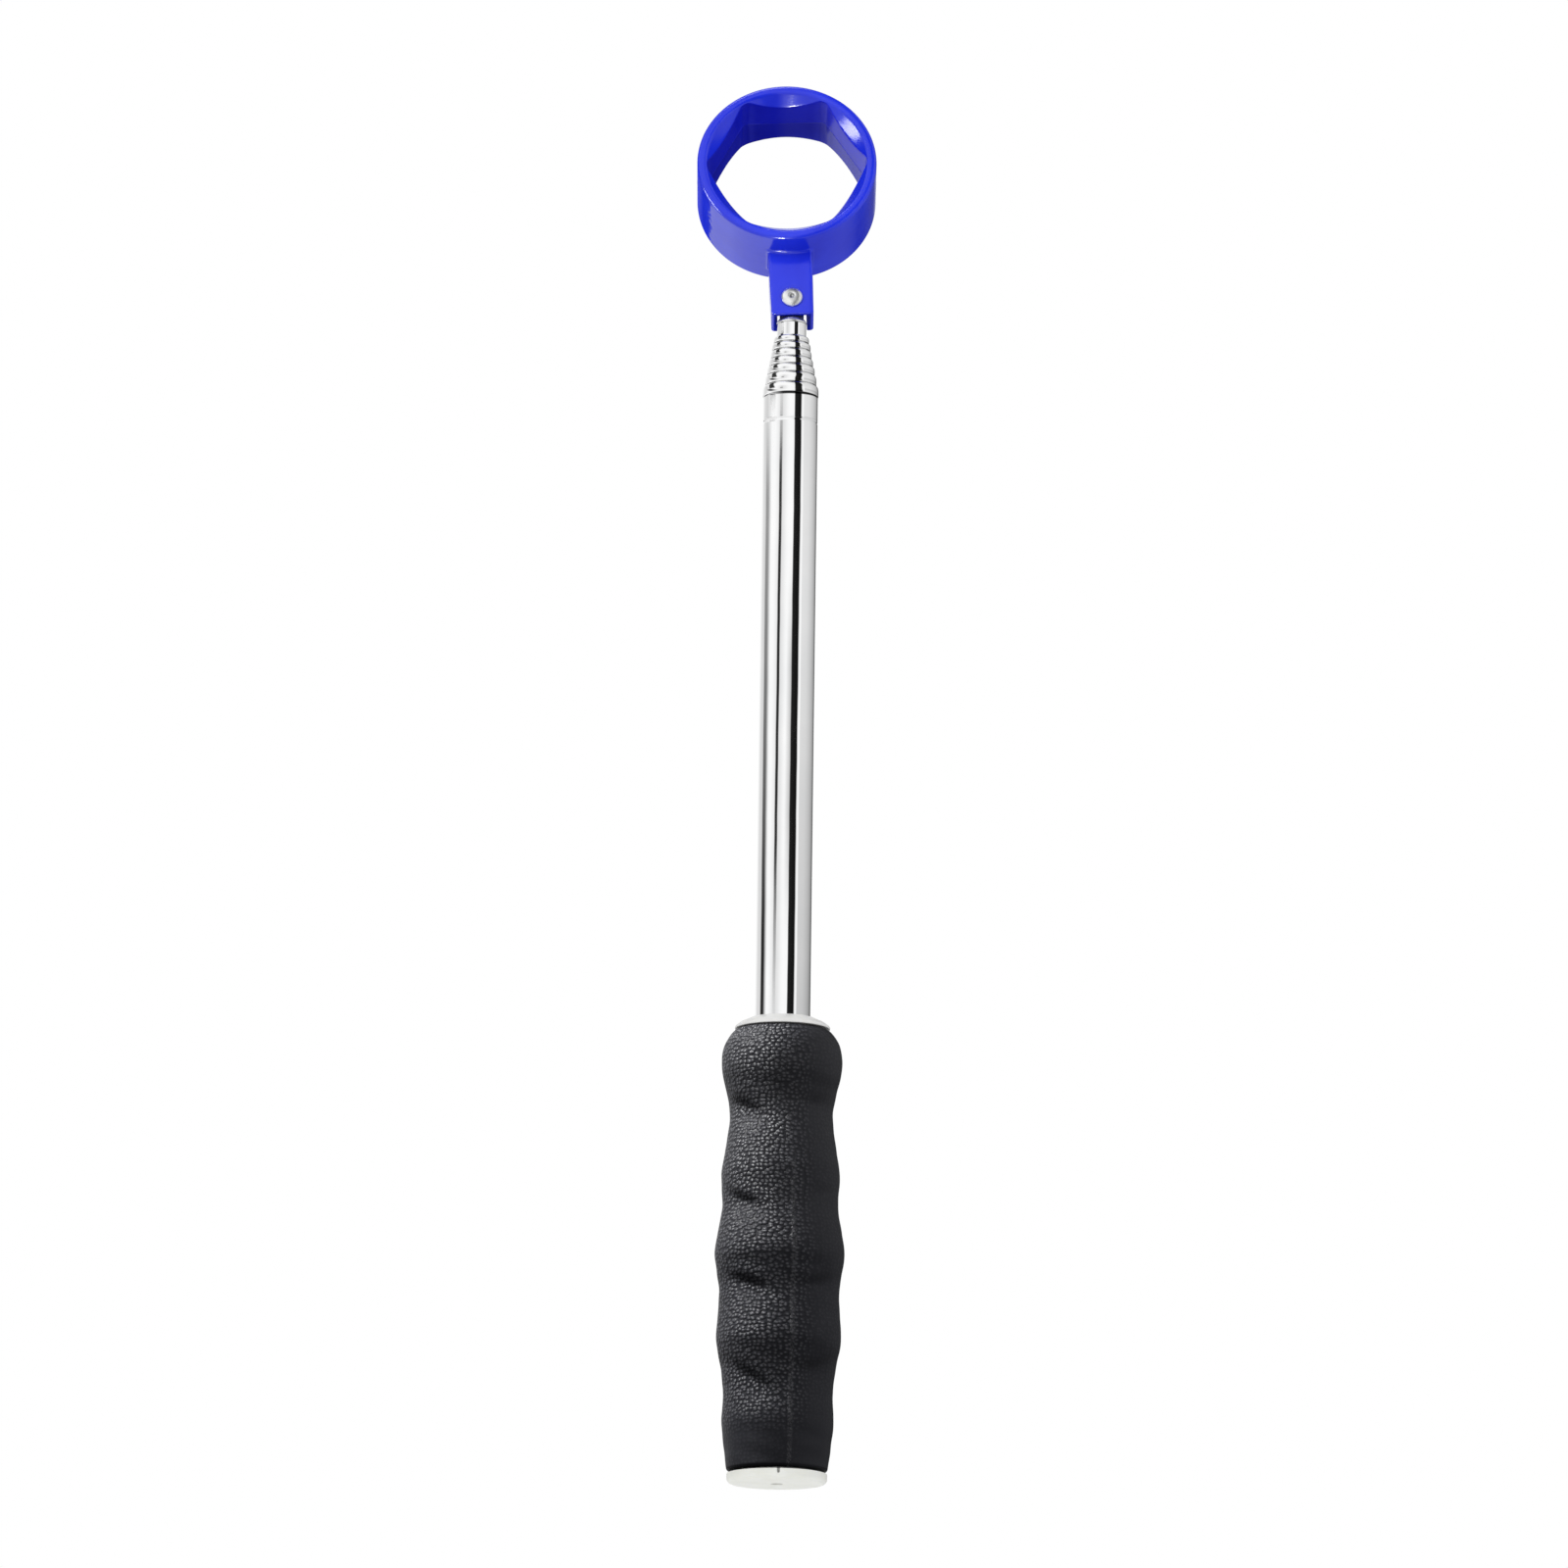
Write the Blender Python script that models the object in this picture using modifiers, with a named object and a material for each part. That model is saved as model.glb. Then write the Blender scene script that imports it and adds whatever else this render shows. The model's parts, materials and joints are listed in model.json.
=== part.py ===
"""Telescopic ball retriever, collapsed.

A pole of eight telescoping chrome tubes stands along +Z on the flat face of its
end cap, whose centre is the origin. A ring with a six-sided bore is riveted to the
tip, leans back towards +Y, and snaps over a golf ball. The rivet's head and the
ring's open face look towards -Y. Dimensions below are millimetres from the end
cap's face and from the pole's axis; the scene is in metres.
"""

import math

import bmesh
import bpy
from mathutils import Matrix, Vector

MM = 0.001

# ---------------------------------------------------------------- dimensions
# _R is a radius, _H a height and _W a width. A chamfer is (inward, along the axis).

TUBE_SIDES = 24  # all the tubes share one phase, so the gaps between them stay even
HANDLE_SIDES = 32
RING_SIDES = 48
REST_GAP = 0.3  # between two pieces that rest on, or sit in, each other

# end cap
CAP_R = 14.7
CAP_RIM_H = 3.0
CAP_EDGE = 0.9
CAP_FLOOR = CAP_RIM_H - 1.0
CAP_PLUG_R = 7.9
CAP_PLUG_BORE_R = 5.9
CAP_PLUG_TOP = 15.0
CAP_PLUG_CHAMFER = (0.5, 1.5)

# liner tube inside the grip
CORE_R = 11.0
CORE_BORE_R = 8.25
CORE_BOTTOM = 3.4
CORE_TOP = 126.0

# radius and height of the grip's outer skin, top to bottom: a palm swell with waves
GRIP_SKIN = [
    (14.1, 134.3), (15.3, 132.8), (16.8, 130.2), (17.7, 126.0), (17.3, 122.0),
    (16.1, 116.0), (15.2, 108.7), (16.4, 98.0), (17.4, 90.8), (17.0, 82.3),
    (18.2, 74.0), (19.05, 67.8), (18.3, 62.0), (17.6, 56.2), (17.9, 49.5),
    (18.3, 43.2), (16.7, 33.0), (16.05, 25.5), (16.4, 18.5), (15.8, 12.0),
    (15.0, 5.5), (14.8, CAP_RIM_H + REST_GAP),
]
GRIP_TOP = GRIP_SKIN[0][1]
GRIP_BOTTOM = GRIP_SKIN[-1][1]
GRIP_BORE_R = CORE_R + REST_GAP

# collar on top of the handle
COLLAR_R = 14.1
COLLAR_BORE_R = 8.4
COLLAR_TOP = 137.8
COLLAR_LIP = 0.6  # flat ring round the bore, and straight edge below the dome
COLLAR_FLANGE_BOTTOM = GRIP_TOP + REST_GAP
COLLAR_SKIRT_R = CORE_R
COLLAR_SKIRT_BOTTOM = CORE_TOP + REST_GAP

# base plug and the pad above it
PLUG_BOTTOM = 24.7
PLUG_TOP = 37.0
PLUG_FLANGE_TOP = PLUG_BOTTOM + 2.0
PLUG_FIT = 0.12  # clearance in the outer tube's bore
PLUG_TAPER = 0.5  # clearance at the plug's top edge
PLUG_TAPER_H = 1.0
PAD_R = 7.5
PAD_BOTTOM = PLUG_TOP + REST_GAP
PAD_TOP = 43.0
PAD_CHAMFER = (0.6, 0.8)

# tubes
WALL = 0.27
OUTER_R = 8.1
OUTER_BORE_R = OUTER_R - WALL
OUTER_BOTTOM = PLUG_FLANGE_TOP + REST_GAP
OUTER_MOUTH = 325.4
MOUTH_CHAMFER = (0.12, 0.2)
TUBE_BASE = PAD_TOP + REST_GAP  # the collapsed inner tubes all end here
# section 1 is the widest inner tube and section 7 the tip: radius, collar bead
# radius, and height of the bead's top
SECTIONS = [
    (7.55, 8.275, 328.9), (7.025, 7.6, 332.1), (6.5, 7.075, 334.7),
    (5.975, 6.55, 337.1), (5.45, 6.075, 339.6), (4.9, 5.75, 341.9),
    (4.35, 5.25, 344.0),
]
TIP_TUBE_TOP = 348.1
TIP_CHAMFER = (0.1, 0.2)
TIP_FILLET = (0.2, 0.1)  # outward and up, where the tip tube leaves its bead
GROOVE_BELOW_MOUTH = 7.7
GROOVE_HALF_H = 0.7
GROOVE_DEPTH = 0.12  # into the tube's outside
GROOVE_RISE = 0.10  # inwards from its bore
FLARE = 0.12  # the flared foot that carries a friction sleeve
FLARE_H = 0.7
FLARE_SLOPE_H = 0.3

# friction sleeves: split rings in the gap between two tubes
SLEEVE_GAP = 0.03
TIP_SLEEVE_GAP = 0.05  # the tip tube also turns in its sleeve
SLEEVE_BOTTOM = TUBE_BASE + 1.3
SLEEVE_H = 20.0
SLIT_START_DEG = 90
SLIT_STEP_DEG = 45  # each slit is turned this much further than the last

# head, in its own frame: X is across, Y is back along the rivet, Z is up the stem
LEAN_DEG = 17.0  # the head leans back from the pole
ROCK_DEG = 2.7  # and stands this far off centre about its rivet
PIVOT = Vector((0.0, 1.64, 354.66))  # on the rivet's axis, in the ring's mid-plane
RING_UP = 42.7  # ring's centre above the rivet
RING_R = 26.9
RING_HALF_DEPTH = 12.2
RING_EDGE = 0.9
BORE_ACROSS_FLATS = 42.0
MOUTH_R = 24.3
MOUTH_DEPTH = 4.0
MOUTH_OVERLAP = 0.6  # the mouth's cutter runs this far in beyond the flats
CUT_PAST = 2.0  # and cutters run this far out past a face
STEM_W = 13.0
STEM_FRONT = -4.2
STEM_BACK = 6.4
STEM_BOTTOM = -5.6
STEM_TOP = 18.6
STEM_EDGE = 0.7
STEM_WALL = 1.6
POCKET_TOP = 6.0
RIVET_HOLE_R = 1.9
RIVET_HOLE_CUT = 30.0

# tip fitting: a plug in the tip tube, and a flat tang up into the stem
FIT_PLUG_BOTTOM = 334.0
FIT_PLUG_R = SECTIONS[-1][0] - WALL - 0.1
FIT_PLUG_CHAMFER = (0.8, 1.0)
# radius, and height above the tip tube's top
FIT_SHOULDER = [(0.0, 1.75), (1.4, 1.65), (2.6, 1.3), (3.45, 0.75), (3.7, 0.2), (3.7, -0.4)]
FIT_PLUG_DROP = 0.6  # the plug's top below the tube's
TANG_W = 6.4
TANG_FRONT = -1.9
TANG_BACK = 2.6
TANG_BOTTOM = -7.2
TANG_TOP = 3.3
TANG_EDGE = 0.8
TANG_HOLE_R = 1.75
TANG_HOLE_CUT = 14.0

# rivet: radius, and height from the seat that each end bears on
RIVET_HEAD = [
    (0.0, 0.95), (0.75, 1.0), (0.95, 1.48), (1.5, 1.4), (2.4, 0.98), (3.0, 0.5), (3.25, 0.0),
]
RIVET_FOOT = [(2.7, 0.0), (2.7, -0.5), (2.2, -0.95), (0.0, -1.1)]
RIVET_SHANK_R = 1.6
RIVET_GAP = 0.25  # from each seat to the stem or the tang


# --------------------------------------------------------- scene and objects

for old in list(bpy.data.objects):
    bpy.data.objects.remove(old, do_unlink=True)

parts = bpy.data.collections.new("telescopic_ball_retriever")
cutters = bpy.data.collections.new("cutters")
for collection in (parts, cutters):
    bpy.context.scene.collection.children.link(collection)


def material(name, srgb, roughness, metallic=0.0):
    """A Principled material."""
    made = bpy.data.materials.new(name)
    made.use_nodes = True
    shader = made.node_tree.nodes["Principled BSDF"]
    linear = [c / 12.92 if c < 0.04045 else ((c + 0.055) / 1.055) ** 2.4 for c in srgb]
    shader.inputs["Base Color"].default_value = (*linear, 1.0)
    shader.inputs["Roughness"].default_value = roughness
    shader.inputs["Metallic"].default_value = metallic
    return made


def frame(name, parent=None, at=(0.0, 0.0, 0.0), turn=Matrix()):
    """An empty on a joint's axis that carries one moving body's pieces."""
    empty = bpy.data.objects.new(name, None)
    parts.objects.link(empty)
    empty.parent = parent
    empty.matrix_local = shift(*at) @ turn
    return empty


def add(name, mesh, parent, finish):
    """A visible piece, its mesh in its parent empty's coordinates."""
    obj = bpy.data.objects.new(name, mesh)
    parts.objects.link(obj)
    obj.parent = parent
    mesh.materials.append(finish)
    return obj


def helper(mesh, parent):
    """A cutter, or a shape that is joined to a piece; named as its mesh."""
    obj = bpy.data.objects.new(mesh.name, mesh)
    cutters.objects.link(obj)
    obj.parent = parent
    obj.hide_render = True
    obj.display_type = "WIRE"
    return obj


# -------------------------------------------------------------------- shapes

ALONG_Y = Matrix.Rotation(math.radians(90), 4, "X")  # lays +Z along -Y
SHARP_DEG = 35  # smooth shading breaks at edges sharper than this
BEVEL_DEG = 40  # and bevels round edges sharper than this


def shift(x, y, z):
    return Matrix.Translation(Vector((x, y, z)) * MM)


def mesh_from(name, shape, smooth=False):
    bmesh.ops.recalc_face_normals(shape, faces=shape.faces)
    mesh = bpy.data.meshes.new(name)
    shape.to_mesh(mesh)
    shape.free()
    if smooth:
        mesh.shade_smooth()
        mesh.set_sharp_from_angle(angle=math.radians(SHARP_DEG))
    return mesh


def cone(name, low_r, high_r, length, sides, place, smooth=True):
    """A closed cylinder or cone, centred on the origin along Z, then placed."""
    shape = bmesh.new()
    bmesh.ops.create_cone(
        shape, cap_ends=True, cap_tris=False, segments=sides,
        radius1=low_r * MM, radius2=high_r * MM, depth=length * MM, matrix=place,
    )
    return mesh_from(name, shape, smooth)


def box(name, low, high):
    """A box between two opposite corners."""
    size = [(end - start) * MM for start, end in zip(low, high)]
    centre = Vector([(start + end) / 2 * MM for start, end in zip(low, high)])
    shape = bmesh.new()
    bmesh.ops.create_cube(
        shape, size=1.0, matrix=Matrix.Translation(centre) @ Matrix.Diagonal((*size, 1.0))
    )
    return mesh_from(name, shape)


def profile(name, outline, closed):
    """A wire in the XZ plane through (radius, height) points."""
    mesh = bpy.data.meshes.new(name)
    last = len(outline) - 1
    edges = [(i, i + 1) for i in range(last)]
    if closed:
        edges.append((last, 0))
    mesh.from_pydata([(radius * MM, 0.0, z * MM) for radius, z in outline], edges, [])
    return mesh


def screw(obj, steps, angle=math.tau):
    turn = obj.modifiers.new("turn", "SCREW")
    turn.axis = "Z"
    turn.angle = angle
    turn.steps = steps
    turn.render_steps = steps
    turn.use_merge_vertices = angle == math.tau
    turn.merge_threshold = 0.000005


def turned(name, outline, parent, finish, sides=TUBE_SIDES, closed=True):
    """A turned piece from (radius, height) points. A hollow piece's outline is a
    closed loop, and a solid one's starts and ends on the axis."""
    obj = add(name, profile(name, outline, closed), parent, finish)
    screw(obj, sides)
    return obj


def arc(centre, reach, start, end, steps):
    """Points of a rounded edge, in degrees from outwards towards up."""
    angles = [math.radians(start + (end - start) * i / steps) for i in range(steps + 1)]
    return [
        (centre[0] + reach[0] * math.cos(angle), centre[1] + reach[1] * math.sin(angle))
        for angle in angles
    ]


def raised(outline, height):
    return [(radius, height + z) for radius, z in outline]


def bevel(obj, width):
    edge = obj.modifiers.new("rounded_edges", "BEVEL")
    edge.width = width * MM
    edge.segments = 2
    edge.limit_method = "ANGLE"
    edge.angle_limit = math.radians(BEVEL_DEG)


def boolean(obj, other, operation, solver="EXACT"):
    cut = obj.modifiers.new(other.name, "BOOLEAN")
    cut.operation = operation
    cut.solver = solver
    cut.object = other


# ----------------------------------------------------------------- materials

OFF_WHITE = material("off_white_plastic", srgb=(0.88, 0.89, 0.87), roughness=0.45)
WHITE = material("white_plastic", srgb=(0.93, 0.93, 0.93), roughness=0.4)
LINER = material("liner_plastic", srgb=(0.82, 0.82, 0.80), roughness=0.5)
RUBBER = material("black_rubber", srgb=(0.13, 0.13, 0.14), roughness=0.6)
PAD = material("pad_rubber", srgb=(0.20, 0.20, 0.21), roughness=0.8)
CHROME = material("chrome", srgb=(0.86, 0.87, 0.88), roughness=0.06, metallic=1.0)
BRASS = material("brass", srgb=(0.78, 0.62, 0.30), roughness=0.35, metallic=1.0)
BLUE = material("blue_plastic", srgb=(0.18, 0.23, 0.91), roughness=0.15)
ZINC = material("plated_steel", srgb=(0.76, 0.77, 0.79), roughness=0.25, metallic=1.0)


# --------------------------------------------------- the joints' own frames

handle = frame("handle_frame")
slides = []
for number in range(1, len(SECTIONS) + 1):
    slides.append(frame(f"slide_{number}_frame", slides[-1] if slides else handle))
tip_turn = frame("tip_swivel_frame", slides[-1])
LEAN = Matrix.Rotation(math.radians(-LEAN_DEG), 4, "X")
ROCK = Matrix.Rotation(math.radians(-ROCK_DEG), 4, "Y")
tang = frame("tang_frame", tip_turn, PIVOT, LEAN)
head = frame("head_rock_frame", tip_turn, PIVOT, LEAN @ ROCK)


# -------------------------------------------------------------------- handle

def end_cap():
    """Rim disc with a rounded lower edge, and a plug hollowed out from above."""
    inward, down = CAP_PLUG_CHAMFER
    hollow = [(0.0, CAP_FLOOR), (CAP_PLUG_BORE_R, CAP_FLOOR), (CAP_PLUG_BORE_R, CAP_PLUG_TOP)]
    plug = [(CAP_PLUG_R - inward, CAP_PLUG_TOP), (CAP_PLUG_R, CAP_PLUG_TOP - down),
            (CAP_PLUG_R, CAP_RIM_H)]
    edge = arc((CAP_R - CAP_EDGE, CAP_EDGE), (CAP_EDGE, CAP_EDGE), start=0, end=-90, steps=3)
    turned("end_cap", hollow + plug + [(CAP_R, CAP_RIM_H)] + edge + [(0.0, 0.0)],
           handle, OFF_WHITE, HANDLE_SIDES, closed=False)


def grip():
    """Rubber sleeve over the liner."""
    bore = [(GRIP_BORE_R, GRIP_BOTTOM), (GRIP_BORE_R, GRIP_TOP)]
    turned("grip", GRIP_SKIN + bore, handle, RUBBER, HANDLE_SIDES)


def handle_core():
    outline = [(CORE_R, CORE_TOP), (CORE_R, CORE_BOTTOM),
               (CORE_BORE_R, CORE_BOTTOM), (CORE_BORE_R, CORE_TOP)]
    turned("handle_core", outline, handle, LINER)


def top_collar():
    """Domed flange over the grip's top, with a skirt down inside it."""
    centre = (COLLAR_BORE_R + COLLAR_LIP, COLLAR_FLANGE_BOTTOM + COLLAR_LIP)
    reach = (COLLAR_R - centre[0], COLLAR_TOP - centre[1])
    outline = arc(centre, reach, start=90, end=0, steps=4) + [
        (COLLAR_R, COLLAR_FLANGE_BOTTOM), (COLLAR_SKIRT_R, COLLAR_FLANGE_BOTTOM),
        (COLLAR_SKIRT_R, COLLAR_SKIRT_BOTTOM), (COLLAR_BORE_R, COLLAR_SKIRT_BOTTOM),
        (COLLAR_BORE_R, COLLAR_TOP),
    ]
    turned("top_collar", outline, handle, WHITE, HANDLE_SIDES)


def base_plug():
    """Flanged plug in the lower end of the outer tube."""
    body_r = OUTER_BORE_R - PLUG_FIT
    outline = [
        (0.0, PLUG_TOP), (OUTER_BORE_R - PLUG_TAPER, PLUG_TOP),
        (body_r, PLUG_TOP - PLUG_TAPER_H), (body_r, PLUG_FLANGE_TOP),
        (OUTER_R, PLUG_FLANGE_TOP), (OUTER_R, PLUG_BOTTOM), (0.0, PLUG_BOTTOM),
    ]
    turned("base_plug", outline, handle, LINER, closed=False)


def bumper_pad():
    inward, along = PAD_CHAMFER
    outline = [
        (0.0, PAD_TOP), (PAD_R - inward, PAD_TOP), (PAD_R, PAD_TOP - along),
        (PAD_R, PAD_BOTTOM + along), (PAD_R - inward, PAD_BOTTOM), (0.0, PAD_BOTTOM),
    ]
    turned("bumper_pad", outline, handle, PAD, closed=False)


# --------------------------------------------------------------------- tubes

def stop_groove(radius, bore, mouth):
    """Fine rolled groove: (outer side going down, inner side going up)."""
    height = mouth - GROOVE_BELOW_MOUTH
    low = height - GROOVE_HALF_H
    high = height + GROOVE_HALF_H
    return (
        [(radius, high), (radius - GROOVE_DEPTH, height), (radius, low)],
        [(bore, low), (bore - GROOVE_RISE, height), (bore, high)],
    )


def collar_bead(radius, bead_r, low, top):
    """Rolled collar, widest low down and rounding in to its top edge."""
    rise = top - low
    reach = bead_r - radius
    return [
        (radius + 0.15 * reach, top), (radius + 0.62 * reach, top - 0.2 * rise),
        (bead_r - 0.04 * reach, top - 0.5 * rise), (bead_r, low + 0.3),
        (bead_r - 0.25, low), (radius, low),
    ]


def outer_tube():
    """The fixed tube, its mouth edge broken and its stop groove below it."""
    inward, down = MOUTH_CHAMFER
    outside, inside = stop_groove(OUTER_R, OUTER_BORE_R, OUTER_MOUTH)
    rim = [(OUTER_R - inward, OUTER_MOUTH), (OUTER_R, OUTER_MOUTH - down)]
    foot = [(OUTER_R, OUTER_BOTTOM), (OUTER_BORE_R, OUTER_BOTTOM)]
    turned("outer_tube", rim + outside + foot + inside + [(OUTER_BORE_R, OUTER_MOUTH)],
           handle, CHROME)


def tube_foot(radius, bore):
    flare_r = radius + FLARE
    flare_top = TUBE_BASE + FLARE_H
    return [(radius, flare_top + FLARE_SLOPE_H), (flare_r, flare_top),
            (flare_r, TUBE_BASE), (bore, TUBE_BASE)]


def sliding_outline(radius, bore, bead, bead_low, bead_top):
    outside, inside = stop_groove(radius, bore, bead_low)
    return bead + outside + tube_foot(radius, bore) + inside + [(bore, bead_top)]


def tip_outline(radius, bore, bead, bead_top):
    """The tip tube runs on above its bead and holds the fitting."""
    inward, down = TIP_CHAMFER
    outward, up = TIP_FILLET
    rim = [(radius - inward, TIP_TUBE_TOP), (radius, TIP_TUBE_TOP - down),
           (radius, bead_top + up), (radius + outward, bead_top)]
    return rim + bead[1:] + tube_foot(radius, bore) + [(bore, TIP_TUBE_TOP)]


def friction_sleeve(number, inner_r, outer_r):
    """Split sleeve between a tube's foot and the tube around it."""
    name = f"friction_sleeve_{number}"
    middle = (inner_r + outer_r) / 2
    line = [(middle, SLEEVE_BOTTOM + SLEEVE_H), (middle, SLEEVE_BOTTOM)]
    sleeve = add(name, profile(name, line, closed=False), slides[number - 1], BRASS)
    # the slit is one facet left out
    screw(sleeve, TUBE_SIDES - 1, math.tau * (TUBE_SIDES - 1) / TUBE_SIDES)
    wall = sleeve.modifiers.new("wall", "SOLIDIFY")
    wall.thickness = (outer_r - inner_r) * MM
    wall.offset = 0.0
    sleeve.rotation_euler.z = math.radians(SLIT_START_DEG + SLIT_STEP_DEG * number)


def inner_tubes():
    """The seven inner tubes and their sleeves, each bead above the tube it rests on."""
    mouth = OUTER_MOUTH
    around_bore = OUTER_BORE_R
    for number, (radius, bead_r, bead_top) in enumerate(SECTIONS, 1):
        bore = radius - WALL
        bead_low = mouth + REST_GAP
        bead = collar_bead(radius, bead_r, bead_low, bead_top)
        if number == len(SECTIONS):
            outline = tip_outline(radius, bore, bead, bead_top)
            carrier = tip_turn
            gap = TIP_SLEEVE_GAP
        else:
            outline = sliding_outline(radius, bore, bead, bead_low, bead_top)
            carrier = slides[number - 1]
            gap = SLEEVE_GAP
        turned(f"section_tube_{number}", outline, carrier, CHROME)
        friction_sleeve(number, radius + gap, around_bore - SLEEVE_GAP)
        mouth = bead_top
        around_bore = bore


# ------------------------------------------------------- tip fitting and head

def tip_fitting():
    """Plug with a domed shoulder, joined to a leaning tang with a cross hole."""
    inward, up = FIT_PLUG_CHAMFER
    plug = [(FIT_PLUG_R, TIP_TUBE_TOP - FIT_PLUG_DROP), (FIT_PLUG_R, FIT_PLUG_BOTTOM + up),
            (FIT_PLUG_R - inward, FIT_PLUG_BOTTOM), (0.0, FIT_PLUG_BOTTOM)]
    fitting = turned("tip_fitting", raised(FIT_SHOULDER, TIP_TUBE_TOP) + plug,
                     tip_turn, ZINC, closed=False)
    blade = helper(box("tang_shape", (-TANG_W / 2, TANG_FRONT, TANG_BOTTOM),
                       (TANG_W / 2, TANG_BACK, TANG_TOP)), tang)
    bevel(blade, TANG_EDGE)
    hole = helper(cone("tang_hole", TANG_HOLE_R, TANG_HOLE_R, TANG_HOLE_CUT,
                       TUBE_SIDES, ALONG_Y), tang)
    boolean(fitting, blade, "UNION")
    boolean(fitting, hole, "DIFFERENCE")


def mouth_cutter(name, side):
    """Cone that opens a ring face, front (-1) or back (1), sloping to the flats."""
    slope = (MOUTH_R - BORE_ACROSS_FLATS / 2) / MOUTH_DEPTH
    reach_in = MOUTH_DEPTH + MOUTH_OVERLAP
    small = MOUTH_R - slope * reach_in
    large = MOUTH_R + slope * CUT_PAST
    # the cone's own Z lies along -Y here
    low_r, high_r = (small, large) if side < 0 else (large, small)
    place = shift(0, side * (RING_HALF_DEPTH + (CUT_PAST - reach_in) / 2), RING_UP) @ ALONG_Y
    return helper(cone(name, low_r, high_r, reach_in + CUT_PAST, RING_SIDES, place), head)


def ring_head():
    """Ring with a six-sided bore, and the stem below it."""
    place = shift(0, 0, RING_UP) @ ALONG_Y
    ring = add("ring_head", cone("ring_head", RING_R, RING_R, 2 * RING_HALF_DEPTH,
                                 RING_SIDES, place), head, BLUE)
    bevel(ring, RING_EDGE)

    stem = helper(box("stem_shape", (-STEM_W / 2, STEM_FRONT, STEM_BOTTOM),
                      (STEM_W / 2, STEM_BACK, STEM_TOP)), head)
    bevel(stem, STEM_EDGE)

    # turned to put the bore's corners left and right
    corner_r = BORE_ACROSS_FLATS / 2 / math.cos(math.radians(30))
    corners_across = Matrix.Rotation(math.radians(30), 4, "Z")
    bore = helper(cone("ball_bore", corner_r, corner_r, 4 * RING_HALF_DEPTH, 6,
                       place @ corners_across, smooth=False), head)
    mouths = [mouth_cutter("front_mouth", -1), mouth_cutter("back_mouth", 1)]

    # makes the stem a channel, open at its lower end and its back for the tang
    pocket_side = STEM_W / 2 - STEM_WALL
    pocket = helper(box("stem_pocket",
                        (-pocket_side, STEM_FRONT + STEM_WALL, STEM_BOTTOM - CUT_PAST),
                        (pocket_side, STEM_BACK + CUT_PAST, POCKET_TOP)), head)
    hole = helper(cone("rivet_hole", RIVET_HOLE_R, RIVET_HOLE_R, RIVET_HOLE_CUT,
                       TUBE_SIDES, ALONG_Y), head)

    boolean(ring, stem, "UNION")
    boolean(ring, bore, "DIFFERENCE")
    for cutter in mouths:
        # the bore's corners come very close to the mouth's edge, which EXACT can miss
        boolean(ring, cutter, "DIFFERENCE", "MANIFOLD")
    boolean(ring, pocket, "DIFFERENCE")
    boolean(ring, hole, "DIFFERENCE")


def head_rivet():
    """Domed rivet through the stem's front and the tang, with a formed foot behind;
    turned about Z and then laid along the head's Y, dome to the front."""
    front = -STEM_FRONT + RIVET_GAP
    back = -TANG_BACK - RIVET_GAP
    shank = [(RIVET_SHANK_R, front), (RIVET_SHANK_R, back)]
    rivet = turned("head_rivet", raised(RIVET_HEAD, front) + shank + raised(RIVET_FOOT, back),
                   head, ZINC, closed=False)
    rivet.rotation_euler.x = math.radians(90)


for build in (
    end_cap, grip, handle_core, top_collar, base_plug, bumper_pad,
    outer_tube, inner_tubes, tip_fitting, ring_head, head_rivet,
):
    build()
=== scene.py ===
"""Looks of a telescopic ball retriever: fine meshes, materials, light and camera.

The pole stands upright along +Z with the end cap at z = 0 and the ring head on top. The front
is -Y, where the camera stands, and +X is right. Meshes are built in mm, and materials, lights
and camera are in metres.
"""

import json
import math

import bmesh
import bpy
import numpy as np
from mathutils import Matrix, Vector

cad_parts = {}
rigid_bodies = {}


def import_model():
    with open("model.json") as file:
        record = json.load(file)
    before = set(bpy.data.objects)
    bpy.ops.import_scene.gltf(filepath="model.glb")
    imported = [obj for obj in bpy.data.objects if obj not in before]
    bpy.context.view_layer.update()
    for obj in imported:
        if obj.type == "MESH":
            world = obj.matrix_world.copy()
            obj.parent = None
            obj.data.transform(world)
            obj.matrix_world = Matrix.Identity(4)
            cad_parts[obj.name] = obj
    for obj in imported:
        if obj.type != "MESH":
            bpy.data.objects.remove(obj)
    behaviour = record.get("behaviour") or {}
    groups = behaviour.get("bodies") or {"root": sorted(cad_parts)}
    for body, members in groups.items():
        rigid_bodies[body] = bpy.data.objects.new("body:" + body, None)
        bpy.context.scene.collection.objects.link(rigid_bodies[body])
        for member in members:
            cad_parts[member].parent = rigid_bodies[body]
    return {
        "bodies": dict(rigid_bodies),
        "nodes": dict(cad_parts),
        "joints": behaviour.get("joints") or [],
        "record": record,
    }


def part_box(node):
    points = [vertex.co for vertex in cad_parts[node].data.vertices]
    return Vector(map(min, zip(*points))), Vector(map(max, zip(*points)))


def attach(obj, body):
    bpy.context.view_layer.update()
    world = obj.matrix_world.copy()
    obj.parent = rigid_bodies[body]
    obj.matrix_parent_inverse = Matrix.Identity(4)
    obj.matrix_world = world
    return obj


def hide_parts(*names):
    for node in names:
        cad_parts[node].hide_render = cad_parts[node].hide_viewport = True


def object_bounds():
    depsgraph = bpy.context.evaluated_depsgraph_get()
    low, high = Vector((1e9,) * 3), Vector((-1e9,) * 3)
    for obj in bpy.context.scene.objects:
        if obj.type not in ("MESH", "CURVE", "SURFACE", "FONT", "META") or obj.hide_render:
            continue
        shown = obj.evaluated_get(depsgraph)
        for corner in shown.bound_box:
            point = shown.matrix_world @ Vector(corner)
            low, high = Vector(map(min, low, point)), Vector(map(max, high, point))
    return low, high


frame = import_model()
CAD_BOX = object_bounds()

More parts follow.
